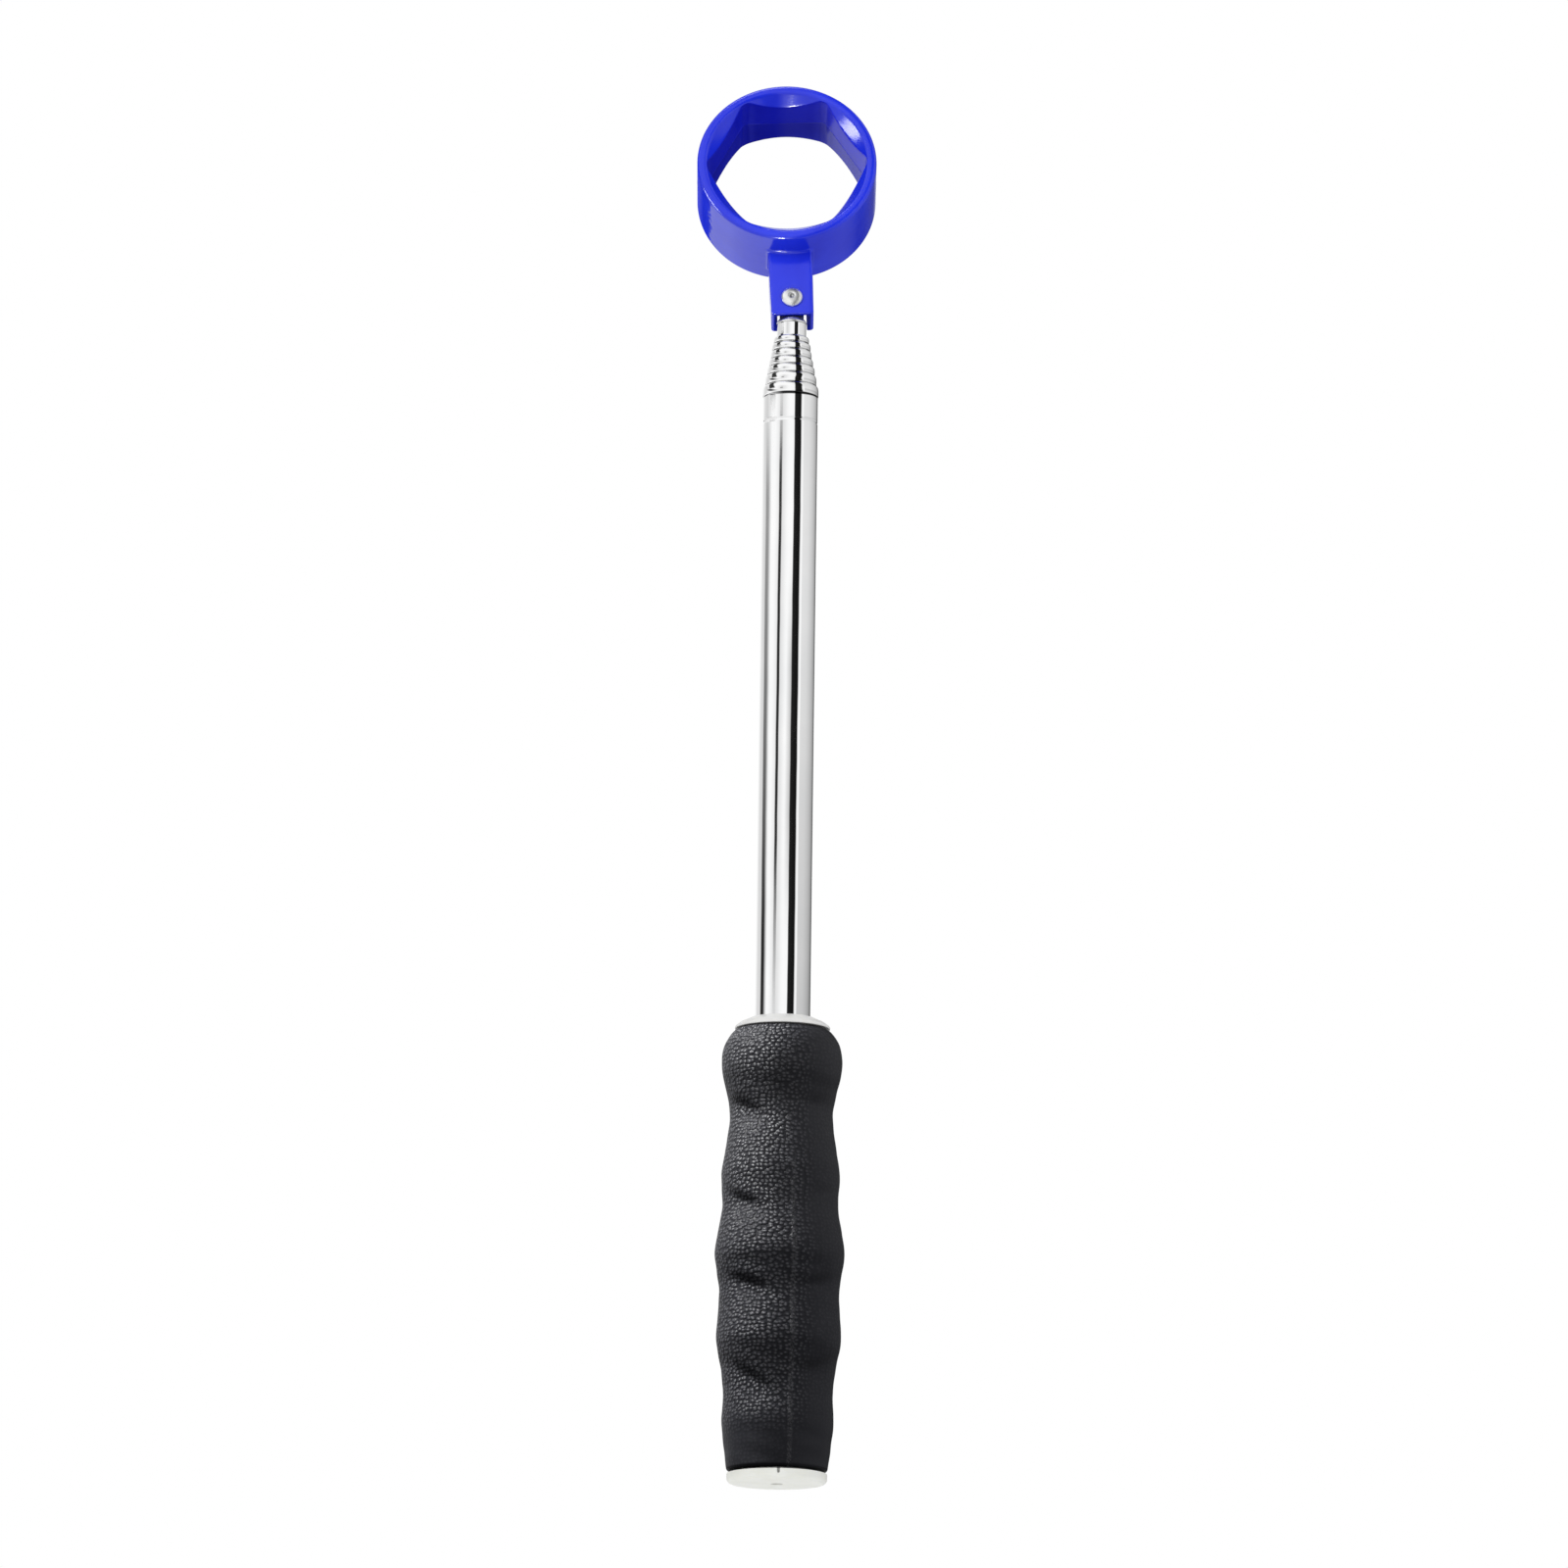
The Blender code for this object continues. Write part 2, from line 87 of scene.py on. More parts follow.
MM = 0.001
record = frame["record"]
BODY_OF = {node: body for body, nodes in record["behaviour"]["bodies"].items() for node in nodes}


def mm_box(node):
    """Low and high corners of a CAD piece, in mm."""
    low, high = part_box(node)
    return low / MM, high / MM


# ============================================================ mesh helpers


def make_object(name, verts, faces, sharp):
    """A closed smooth-shaded mesh in mm, its faces turned outwards, creased above sharp degrees."""
    mesh = bpy.data.meshes.new(name)
    mesh.from_pydata([tuple(v) for v in (np.asarray(verts, float) * MM)], [], faces)
    bm = bmesh.new()
    bm.from_mesh(mesh)
    bmesh.ops.recalc_face_normals(bm, faces=bm.faces)
    if bm.calc_volume(signed=True) < 0:
        bmesh.ops.reverse_faces(bm, faces=bm.faces)
    bm.to_mesh(mesh)
    bm.free()
    mesh.shade_smooth()
    mesh.set_sharp_from_angle(angle=math.radians(sharp))
    obj = bpy.data.objects.new(name, mesh)
    bpy.context.scene.collection.objects.link(obj)
    return obj


def stand_for(obj, node, material):
    """obj takes the CAD node's place, body and finish."""
    obj.data.materials.clear()
    obj.data.materials.append(material)
    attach(obj, BODY_OF[node])
    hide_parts(node)


def rounded(points, closed=False, steps=5):
    """A polyline of (r, z, fillet radius) with each corner rounded by its radius."""
    out = []
    count = len(points)
    for i, (r, z, radius) in enumerate(points):
        here = Vector((r, z))
        if not closed and i in (0, count - 1) or radius <= 0:
            out.append((r, z))
            continue
        before = Vector(points[i - 1][:2]) - here
        after = Vector(points[(i + 1) % count][:2]) - here
        angle = before.angle(after)
        if angle > math.radians(178):
            out.append((r, z))
            continue
        # a fillet may take up to just under half of either side
        cut = min(radius / math.tan(angle / 2), before.length * 0.48, after.length * 0.48)
        real = cut * math.tan(angle / 2)
        start, end = here + before.normalized() * cut, here + after.normalized() * cut
        inward = (before.normalized() + after.normalized()).normalized()
        centre = here + inward * (real / math.sin(angle / 2))
        arm_start, arm_end = start - centre, end - centre
        sweep = arm_start.angle(arm_end)
        for k in range(steps + 1):
            t = k / steps
            weight_start = math.sin((1 - t) * sweep) / math.sin(sweep)
            weight_end = math.sin(t * sweep) / math.sin(sweep)
            point = centre + arm_start * weight_start + arm_end * weight_end
            out.append((point.x, point.y))
    return out


def lathe(name, outline, sides, closed, sharp=32.0):
    """A mesh turned round Z. An open outline starts and ends on the axis."""
    angles = np.arange(sides) * (math.tau / sides)
    verts, rows = [], []
    for r, z in outline:
        if r < 1e-6 and not closed:
            rows.append([len(verts)])
            verts.append((0.0, 0.0, z))
        else:
            rows.append(list(range(len(verts), len(verts) + sides)))
            verts += [(r * math.cos(a), r * math.sin(a), z) for a in angles]
    pairs = list(zip(rows, rows[1:]))
    if closed:
        pairs.append((rows[-1], rows[0]))
    faces = []
    for this, following in pairs:
        for k in range(sides):
            m = (k + 1) % sides
            if len(this) == 1:
                faces.append((this[0], following[k], following[m]))
            elif len(following) == 1:
                faces.append((this[k], following[0], this[m]))
            else:
                faces.append((this[k], following[k], following[m], this[m]))
    return make_object(name, verts, faces, sharp)


def band(first, second, count):
    """Quads between two closed loops of vertices that start at the given indices."""
    faces = []
    for k in range(count):
        m = (k + 1) % count
        faces.append((first + k, first + m, second + m, second + k))
    return faces


def loft(name, loops, sharp=32.0):
    """A closed body through loops of equal length, its ends capped."""
    count = len(loops[0])
    verts = [point for loop in loops for point in loop]
    faces = []
    for i in range(len(loops) - 1):
        faces += band(i * count, (i + 1) * count, count)
    faces.append(tuple(reversed(range(count))))
    faces.append(tuple(range((len(loops) - 1) * count, len(loops) * count)))
    return make_object(name, verts, faces, sharp)


def round_rect(x0, x1, y0, y1, radius, corner, edge):
    """Points round a rectangle, with corner steps per rounded corner and edge steps per side."""
    radius = max(0.02, min(radius, (x1 - x0) / 2 - 0.01, (y1 - y0) / 2 - 0.01))
    centres = [
        (x1 - radius, y1 - radius, 0), (x0 + radius, y1 - radius, 90),
        (x0 + radius, y0 + radius, 180), (x1 - radius, y0 + radius, 270),
    ]

    def on_corner(i, turn):
        x, y, start = centres[i]
        angle = math.radians(start + turn)
        return x + radius * math.cos(angle), y + radius * math.sin(angle)

    out = []
    for i in range(4):
        out += [on_corner(i, 90 * k / corner) for k in range(corner + 1)]
        start, end = out[-1], on_corner((i + 1) % 4, 0)
        for k in range(1, edge):
            t = k / edge
            out.append((start[0] * (1 - t) + end[0] * t, start[1] * (1 - t) + end[1] * t))
    return out


def combine(target, other, operation):
    """Boolean of two closed meshes, applied, with the other removed."""
    cut = target.modifiers.new("combine", "BOOLEAN")
    cut.operation, cut.solver, cut.object = operation, "MANIFOLD", other
    graph = bpy.context.evaluated_depsgraph_get()
    made = bpy.data.meshes.new_from_object(target.evaluated_get(graph))
    target.modifiers.clear()
    target.data = made
    bpy.data.objects.remove(other, do_unlink=True)


def finish_mesh(obj, sharp):
    """Cleans and shades a mesh after its booleans."""
    bm = bmesh.new()
    bm.from_mesh(obj.data)
    bmesh.ops.remove_doubles(bm, verts=bm.verts, dist=2e-7)
    bmesh.ops.dissolve_degenerate(bm, edges=bm.edges, dist=1e-7)
    bmesh.ops.recalc_face_normals(bm, faces=bm.faces)
    bm.to_mesh(obj.data)
    bm.free()
    obj.data.shade_smooth()
    obj.data.set_sharp_from_angle(angle=math.radians(sharp))


def place(obj, matrix):
    """Moves mesh data itself, so that the object stays at the origin."""
    obj.data.transform(matrix)
    obj.data.update()


# ============================================================ node helpers


class Net:
    """Node tree of a material or world. Most methods add nodes and return an output socket."""

    def __init__(self, owner):
        owner.use_nodes = True
        self.tree = owner.node_tree
        self.tree.nodes.clear()

    def node(self, kind, ins=None, **props):
        """Adds a node. Inputs given as sockets are linked, and other values are set."""
        made = self.tree.nodes.new("ShaderNode" + kind)
        for key, value in props.items():
            setattr(made, key, value)
        for key, value in (ins or {}).items():
            if isinstance(value, bpy.types.NodeSocket):
                self.tree.links.new(value, made.inputs[key])
            else:
                made.inputs[key].default_value = value
        return made

    def out(self, kind, ins=None, **props):
        """Adds a node and returns its first output."""
        return self.node(kind, ins, **props).outputs[0]

    def math(self, operation, a, b=0.0):
        return self.out("Math", {0: a, 1: b, 2: 0.0}, operation=operation)

    def add(self, a, b):
        return self.math("ADD", a, b)

    def sub(self, a, b):
        return self.math("SUBTRACT", a, b)

    def mul(self, a, b):
        return self.math("MULTIPLY", a, b)

    def larger(self, a, b):
        return self.math("MAXIMUM", a, b)

    def absolute(self, value):
        return self.math("ABSOLUTE", value)

    def flip(self, value):
        return self.sub(1.0, value)

    def cut(self, value, by, share):
        """value, less that share of it where by is 1."""
        return self.mul(value, self.flip(self.mul(by, share)))

    def centred(self, value, amount):
        """A 0 to 1 noise made to swing about 0."""
        return self.mul(self.sub(value, 0.5), amount)

    def vector(self, operation, a, b):
        return self.out("VectorMath", {0: a, 1: b}, operation=operation)

    def dot(self, a, b):
        return self.node("VectorMath", {0: a, 1: b}, operation="DOT_PRODUCT").outputs["Value"]

    def length(self, a):
        return self.node("VectorMath", {0: a}, operation="LENGTH").outputs["Value"]

    def at(self):
        return self.node("TexCoord").outputs["Object"]

    def normal(self):
        return self.node("NewGeometry").outputs["Normal"]

    def split(self, vector):
        """x, y and z of a vector."""
        return self.node("SeparateXYZ", {0: vector}).outputs

    def azimuth(self, x, y):
        """Angle round Z from the front, in radians; right is positive."""
        return self.math("ARCTAN2", x, self.mul(y, -1.0))

    def remap(self, value, over, to=(0.0, 1.0)):
        """The range over, drawn linearly onto the range to and held at its ends."""
        return self.out("MapRange", {
            "Value": value, "From Min": over[0], "From Max": over[1],
            "To Min": to[0], "To Max": to[1],
        })

    def noise(self, coords, scale, detail=3.0, rough=0.5, stretch=None, out="Fac"):
        if stretch:
            coords = self.out("Mapping", {"Vector": coords, "Scale": stretch})
        made = self.node("TexNoise", {
            "Vector": coords, "Scale": scale, "Detail": detail, "Roughness": rough,
        })
        return made.outputs[out]

    def ramp(self, factor, stops):
        """Linear colour ramp through (position, grey or colour) stops."""
        made = self.node("ValToRGB", {"Fac": factor})
        made.color_ramp.interpolation = "LINEAR"
        elements = made.color_ramp.elements
        while len(elements) > 1:
            elements.remove(elements[-1])
        for i, (position, colour) in enumerate(stops):
            element = elements[0] if i == 0 else elements.new(position)
            element.position = position
            if isinstance(colour, (int, float)):
                colour = (colour, colour, colour)
            element.color = (*colour, 1.0)
        return made.outputs["Color"]

    def mix(self, factor, a, b, blend="MIX"):
        """Blends colours a and b, each a socket or an RGB tuple."""
        a, b = [(*c, 1.0) if isinstance(c, tuple) else c for c in (a, b)]
        made = self.node("Mix", {0: factor, 6: a, 7: b}, data_type="RGBA", blend_type=blend)
        return made.outputs[2]

    def bump(self, height, strength, distance, **more):
        return self.out("Bump", {
            "Strength": strength, "Distance": distance, "Height": height, **more,
        })

    def openness(self, distance, samples=4):
        """Ambient occlusion: 1 in the open, lower in hollows."""
        made = self.node("AmbientOcclusion", {"Distance": distance}, samples=samples)
        return made.outputs["AO"]

    def edge_mask(self, radius, over):
        """1 on edges narrower than the radius, 0 on open faces."""
        worn = self.out("Bevel", {"Radius": radius}, samples=4)
        away = self.flip(self.dot(worn, self.normal()))
        return self.remap(away, over)

    def mix_shader(self, factor, a, b):
        return self.out("MixShader", {0: factor, 1: a, 2: b})

    def surface(self, shader, owner="Material"):
        self.node("Output" + owner, {"Surface": shader})


def new_material(name):
    mat = bpy.data.materials.new(name)
    return mat, Net(mat)


def scaled(colour, share):
    return tuple(c * share for c in colour)


def srgb(*levels):
    """Linear colour of 8-bit sRGB levels."""
    return tuple(
        c / 12.92 if c < 0.04045 else ((c + 0.055) / 1.055) ** 2.4
        for c in (level / 255 for level in levels)
    )


# =============================================================== materials

GROOVE_DROP = 7.7  # rolled groove below a tube's mouth or bead, mm
RING_UP = 42.7  # ring centre above the head pivot, mm

# the head leans back from the pole, and the ring also rocks sideways on its rivet
pivot = Vector(next(joint for joint in frame["joints"] if joint["name"] == "head_rock")["pos_m"])
LEAN = Matrix.Rotation(math.radians(-17.0), 4, "X")
ROCK = Matrix.Rotation(math.radians(-2.7), 4, "Y")
HEAD = Matrix.Translation(pivot) @ LEAN @ ROCK
TANG = Matrix.Translation(pivot) @ LEAN
RING_CENTRE = HEAD @ Vector((0.0, 0.0, RING_UP * MM))
RING_FACE = HEAD.to_3x3() @ Vector((0.0, -1.0, 0.0))

# how much painted shade shows in the steps between the tubes, by azimuth: 0 and 1 are the back, 0.5
# is the front
STEP_SHADE_AROUND = [
    (0.0, 0.8), (0.33, 0.5), (0.40, 0.08), (0.455, 0.16), (0.495, 1.0), (0.578, 1.0),
    (0.592, 0.2), (0.68, 0.12), (0.71, 0.9), (1.0, 0.8),
]


def chrome_material():
    """Polished plated tube: faint draw lines, slight waviness, fine handling scratches."""
    mat, net = new_material("chrome")
    at = net.at()
    x, y, z = net.split(at)
    # plating that isn't quite straight: the mirrored streaks wander a little along the tube
    wander = net.noise(at, scale=9.0, detail=1.0, rough=0.4, stretch=(0.0, 0.0, 1.0))
    shiver = net.noise(at, scale=60.0, detail=2.0, rough=0.6, stretch=(0.25, 0.25, 1.0))
    turn = net.add(net.centred(wander, amount=0.055), net.centred(shiver, amount=0.03))
    # slightly oval tubes: what they mirror turns a little with height, most at the collars
    low_turn = net.remap(z, over=(0.18, 0.24), to=(-0.014, 0.0))
    high_turn = net.remap(z, over=(0.3300, 0.3310), to=(0.080, 0.124))
    turn = net.sub(turn, net.add(low_turn, high_turn))
    turned = net.out(
        "VectorRotate", {"Vector": net.normal(), "Angle": turn}, rotation_type="Z_AXIS")
    lines = net.noise(at, scale=900.0, detail=2.0, rough=0.6, stretch=(1.0, 1.0, 0.02))
    scratches = net.noise(at, scale=420.0, detail=4.0, rough=0.75, stretch=(1.0, 1.0, 0.35))
    height = net.add(net.mul(lines, 0.6), net.mul(scratches, 0.4))
    bump = net.bump(height, strength=0.012, distance=0.0002, Normal=turned)
    smudge = net.noise(at, scale=55.0, detail=4.0, rough=0.65)
    rough = net.remap(smudge, over=(0.35, 0.75), to=(0.012, 0.045))
    rough = net.add(rough, net.mul(net.edge_mask(radius=0.0002, over=(0.05, 0.5)), 0.06))
    tint = net.ramp(smudge, [(0.3, (0.93, 0.935, 0.94)), (0.7, (0.985, 0.985, 0.985))])
    # painted shade darkens the steps between the tubes
    hollow = net.openness(distance=0.0006, samples=6)
    around = net.azimuth(x, y)
    shade_around = net.ramp(net.remap(around, over=(-math.pi, math.pi)), STEP_SHADE_AROUND)
    crevice_shade = net.mul(net.remap(hollow, over=(0.25, 0.66), to=(0.92, 0.0)), shade_around)
    # the painted shade is darkest in the widest step, at the outer tube's mouth
    from_mouth = net.sub(z, mm_box("outer_tube")[1].z * MM)
    thick = net.remap(around, over=(0.35, 0.9), to=(0.00036, 0.00022))
    widest_shade = net.absolute(net.sub(from_mouth, 0.00012))
    widest_shade = net.remap(net.sub(widest_shade, thick), over=(0.0, 0.00014), to=(0.95, 0.0))
    widest_shade = net.mul(widest_shade, net.remap(around, over=(-0.85, -0.30), to=(0.05, 1.0)))
    tint = net.mix(net.larger(crevice_shade, widest_shade), tint, (0.02, 0.02, 0.022))
    shader = net.out("BsdfPrincipled", {
        "Base Color": tint, "Metallic": 1.0, "Roughness": rough, "Normal": bump,
    })
    # pale dust sits in the left of the outer tube's rolled groove
    from_groove = net.absolute(net.add(from_mouth, GROOVE_DROP * MM))
    dusty = net.remap(from_groove, over=(0.0005, 0.0008), to=(0.9, 0.0))
    from_left = net.absolute(net.add(around, 0.82))
    dusty = net.mul(dusty, net.remap(from_left, over=(0.22, 0.34), to=(1.0, 0.0)))
    pale = net.out("BsdfDiffuse", {"Color": (0.78, 0.78, 0.78, 1.0)})
    net.surface(net.mix_shader(dusty, shader, pale))
    return mat


def metal_material(name, colour, roughness, grain=1400.0, stretch=None):
    """Turned or tumbled metal: fine grain, painted shade in its hollows, worn bright at its edges.
    """
    mat, net = new_material(name)
    at = net.at()
    fine = net.noise(at, scale=grain, detail=4.0, rough=0.7, stretch=stretch)
    cloud = net.noise(at, scale=260.0, detail=3.0, rough=0.6)
    edge = net.edge_mask(radius=0.0003, over=(0.02, 0.3))
    # painted shade: the colour darkens in the hollows
    hollow = net.openness(distance=0.0012)
    shade = net.remap(hollow, over=(0.3, 0.95), to=(1.0, 0.0))
    tint = net.mix(shade, colour, scaled(colour, 0.35))
    bright = tuple(min(1.0, c * 1.2) for c in colour)
    tint = net.mix(net.mul(edge, 0.6), tint, bright)
    rough = net.remap(cloud, over=(0.3, 0.7), to=roughness)
    bump = net.bump(fine, strength=0.08, distance=0.00008)
    net.surface(net.out("BsdfPrincipled", {
        "Base Color": tint, "Metallic": 1.0, "Roughness": rough, "Normal": bump,
    }))
    return mat


# gloss and colour kept across the ring's bore under its painted shade, from its left (0) to its
# right (1)
BORE_SHADE_GLOSS = [(0.0, 0.18), (0.42, 0.10), (0.50, 0.34), (0.74, 0.32), (0.80, 0.60), (1.0, 0.74)]
BORE_SHADE_COLOUR = [(0.0, 0.66), (0.5, 0.70), (0.72, 0.76), (0.80, 0.95), (1.0, 1.0)]
BORE_SPAN = (-0.024, 0.024)


def blue_material():
    """Glossy pigmented moulding: faint flow clouding, soft sheen, a painted azure highlight on its
    edges and painted shade in its bore.
    """
    mat, net = new_material("blue_plastic")
    at = net.at()
    flow = net.noise(at, scale=70.0, detail=4.0, rough=0.55, stretch=(1.0, 1.0, 0.6))
    tint = net.ramp(flow, [(0.3, (0.008, 0.020, 0.62)), (0.7, (0.014, 0.034, 0.74))])
    # painted highlight: the rounded edges turn azure
    edge = net.edge_mask(radius=0.0005, over=(0.01, 0.35))
    tint = net.mix(net.mul(edge, 0.7), tint, (0.025, 0.16, 0.98))

    # place in the ring: off its mid-plane towards the front, and reach from its axis
    centre = net.vector("SUBTRACT", at, tuple(RING_CENTRE))
    off = net.dot(centre, tuple(RING_FACE))
    along = net.out("VectorMath", {0: tuple(RING_FACE), "Scale": off}, operation="SCALE")
    radial = net.vector("SUBTRACT", centre, along)
    reach = net.length(radial)
    normal = net.normal()
    outward = net.out("VectorMath", {0: radial}, operation="NORMALIZE")
    facing = net.dot(normal, outward)

    # painted shade in the bore: duller and darker than the outside, most on its left
    bore = net.mul(
        net.remap(facing, over=(-0.80, -0.93)),
        net.remap(reach, over=(0.0244, 0.0250), to=(1.0, 0.0)),
    )
    side = net.split(centre)[0]
    gloss = net.ramp(net.remap(side, over=BORE_SPAN), BORE_SHADE_GLOSS)
    # painted shade down inside the stem: duller and darker
    inside_shade = net.mul(
        net.remap(reach, over=(0.0355, 0.0360)),
        net.remap(off, over=(0.0033, 0.0038), to=(1.0, 0.0)),
    )
    from_pin = net.vector("SUBTRACT", at, tuple(pivot))
    across = net.dot(from_pin, tuple(HEAD.to_3x3() @ Vector((1.0, 0.0, 0.0))))
    within = net.remap(net.absolute(across), over=(0.0053, 0.0057), to=(1.0, 0.0))
    inside_shade = net.mul(inside_shade, within)
    # painted dark reflection on the far left of the outer wall, as from a dark corner
    leftward = net.split(net.normal())[0]
    torn = net.centred(net.noise(at, scale=190.0, detail=4.0, rough=0.7), amount=0.30)
    corner = net.remap(net.add(leftward, torn), over=(-0.835, -0.862))
    corner = net.mul(corner, net.remap(reach, over=(0.0255, 0.0262)))
    corner = net.mul(corner, net.remap(reach, over=(0.0290, 0.0300), to=(1.0, 0.0)))

    # share of plain matt surface
    dull = net.mul(bore, net.flip(gloss))
    dull = net.mul(dull, 0.85)
    dull = net.larger(dull, net.mul(inside_shade, 0.9))
    dull = net.larger(dull, net.mul(corner, 0.85))
    # share of the specular kept, and of the colour
    keep = net.flip(net.mul(bore, net.flip(gloss)))
    keep = net.cut(keep, by=inside_shade, share=0.85)
    inner = net.ramp(net.remap(side, over=BORE_SPAN), BORE_SHADE_COLOUR)
    painted_shade = net.flip(net.mul(bore, net.flip(inner)))
    painted_shade = net.cut(painted_shade, by=inside_shade, share=0.45)
    keep = net.cut(keep, by=corner, share=0.9)
    # the two drafts of the bore meet at a parting line, and the rear one gets deeper painted shade
    rear_shade = net.mul(net.remap(off, over=(-0.0001, 0.0001), to=(1.0, 0.0)), bore)
    painted_shade = net.cut(painted_shade, by=rear_shade, share=0.22)
    green = net.cut(painted_shade, by=bore, share=0.35)
    shade = net.out("CombineXYZ", {0: painted_shade, 1: green, 2: painted_shade})
    tint = net.mix(1.0, tint, shade, "MULTIPLY")

    peel = net.noise(at, scale=520.0, detail=2.0)
    dust = net.noise(at, scale=2600.0, rough=0.6)
    height = net.add(net.mul(peel, 0.9), net.mul(dust, 0.04))
    bump = net.bump(height, strength=0.03, distance=0.00006)
    rough = net.noise(at, scale=130.0, rough=0.6)
    rough = net.remap(rough, over=(0.3, 0.7), to=(0.13, 0.20))
    shader = net.out("BsdfPrincipled", {
        "Base Color": tint, "Roughness": rough, "IOR": 1.5, "Normal": bump,
        "Specular IOR Level": net.mul(keep, 0.5),
    })
    matt = net.out("BsdfDiffuse", {"Color": tint, "Roughness": 0.4, "Normal": bump})
    net.surface(net.mix_shader(dull, shader, matt))
    return mat


def white_material(name, light, dark, roughness, specular=0.5, gate=0.0):
    """Pale moulding: slight yellowing, fine mould grain, scuffs that catch on its edges, painted
    shade in its hollows.

    gate is the radius of a cut sprue in the middle, in metres, or 0 for none.
    """
    mat, net = new_material(name)
    at = net.at()
    cloud = net.noise(at, scale=120.0, detail=4.0, rough=0.6)
    tint = net.ramp(cloud, [(0.32, dark), (0.68, light)])
    scuff = net.noise(at, scale=420.0, detail=5.0, rough=0.75, stretch=(1.0, 1.0, 0.4))
    edge = net.edge_mask(radius=0.0006, over=(0.01, 0.35))
    dirt = net.mul(net.remap(scuff, over=(0.56, 0.72)), edge)
    tint = net.mix(net.mul(dirt, 0.35), tint, scaled(dark, 0.55))
    # painted shade: the colour darkens in the hollows
    hollow = net.openness(distance=0.001)
    shade = net.remap(hollow, over=(0.25, 0.8), to=(0.45, 0.0))
    tint = net.mix(shade, tint, scaled(dark, 0.4))
    if gate:
        from_axis = net.length(net.vector("MULTIPLY", at, (1.0, 1.0, 0.0)))
        ragged = net.mul(net.noise(at, scale=900.0, rough=0.6), 0.0004)
        from_axis = net.add(from_axis, ragged)
        sprue = net.remap(from_axis, over=(gate, gate + 0.0003), to=(0.55, 0.0))
        tint = net.mix(sprue, tint, scaled(dark, 0.35))
    grain = net.noise(at, scale=1700.0, rough=0.6)
    bump = net.bump(grain, strength=0.12, distance=0.00008)
    rough = net.remap(scuff, over=(0.3, 0.7), to=roughness)
    net.surface(net.out("BsdfPrincipled", {
        "Base Color": tint, "Roughness": rough, "Specular IOR Level": specular, "Normal": bump,
        "Subsurface Weight": 0.15, "Subsurface Radius": (1.0, 0.95, 0.8),
        "Subsurface Scale": 0.001,
    }))
    return mat


SEAM_ANGLE = 13.0  # the grip's front mould seam, degrees right of the front
GRIP_R = 0.017  # mean grip radius that the pebbles are laid out on, m


def grip_pebbles(net, sheet):
    """Leather-like pebbles, 0 between them to 1 at their tops, on a flat sheet."""
    bend = net.noise(sheet, scale=260.0, detail=2.0, out="Color")
    bend = net.vector("SUBTRACT", bend, (0.5, 0.5, 0.5))
    bend = net.vector("MULTIPLY", bend, (0.0009, 0.0006, 0.0))
    warped = net.vector("ADD", sheet, bend)
    warped = net.out("Mapping", {"Vector": warped, "Scale": (0.88, 1.12, 1.0)})
    cells = net.node("TexVoronoi", {
        "Vector": warped, "Scale": 775.0, "Randomness": 0.68, "Smoothness": 0.3,
    }, voronoi_dimensions="2D", feature="SMOOTH_F1")
    dome = net.remap(cells.outputs["Distance"], over=(0.05, 0.62), to=(1.0, 0.0))
    return net.math("POWER", dome, 0.8)


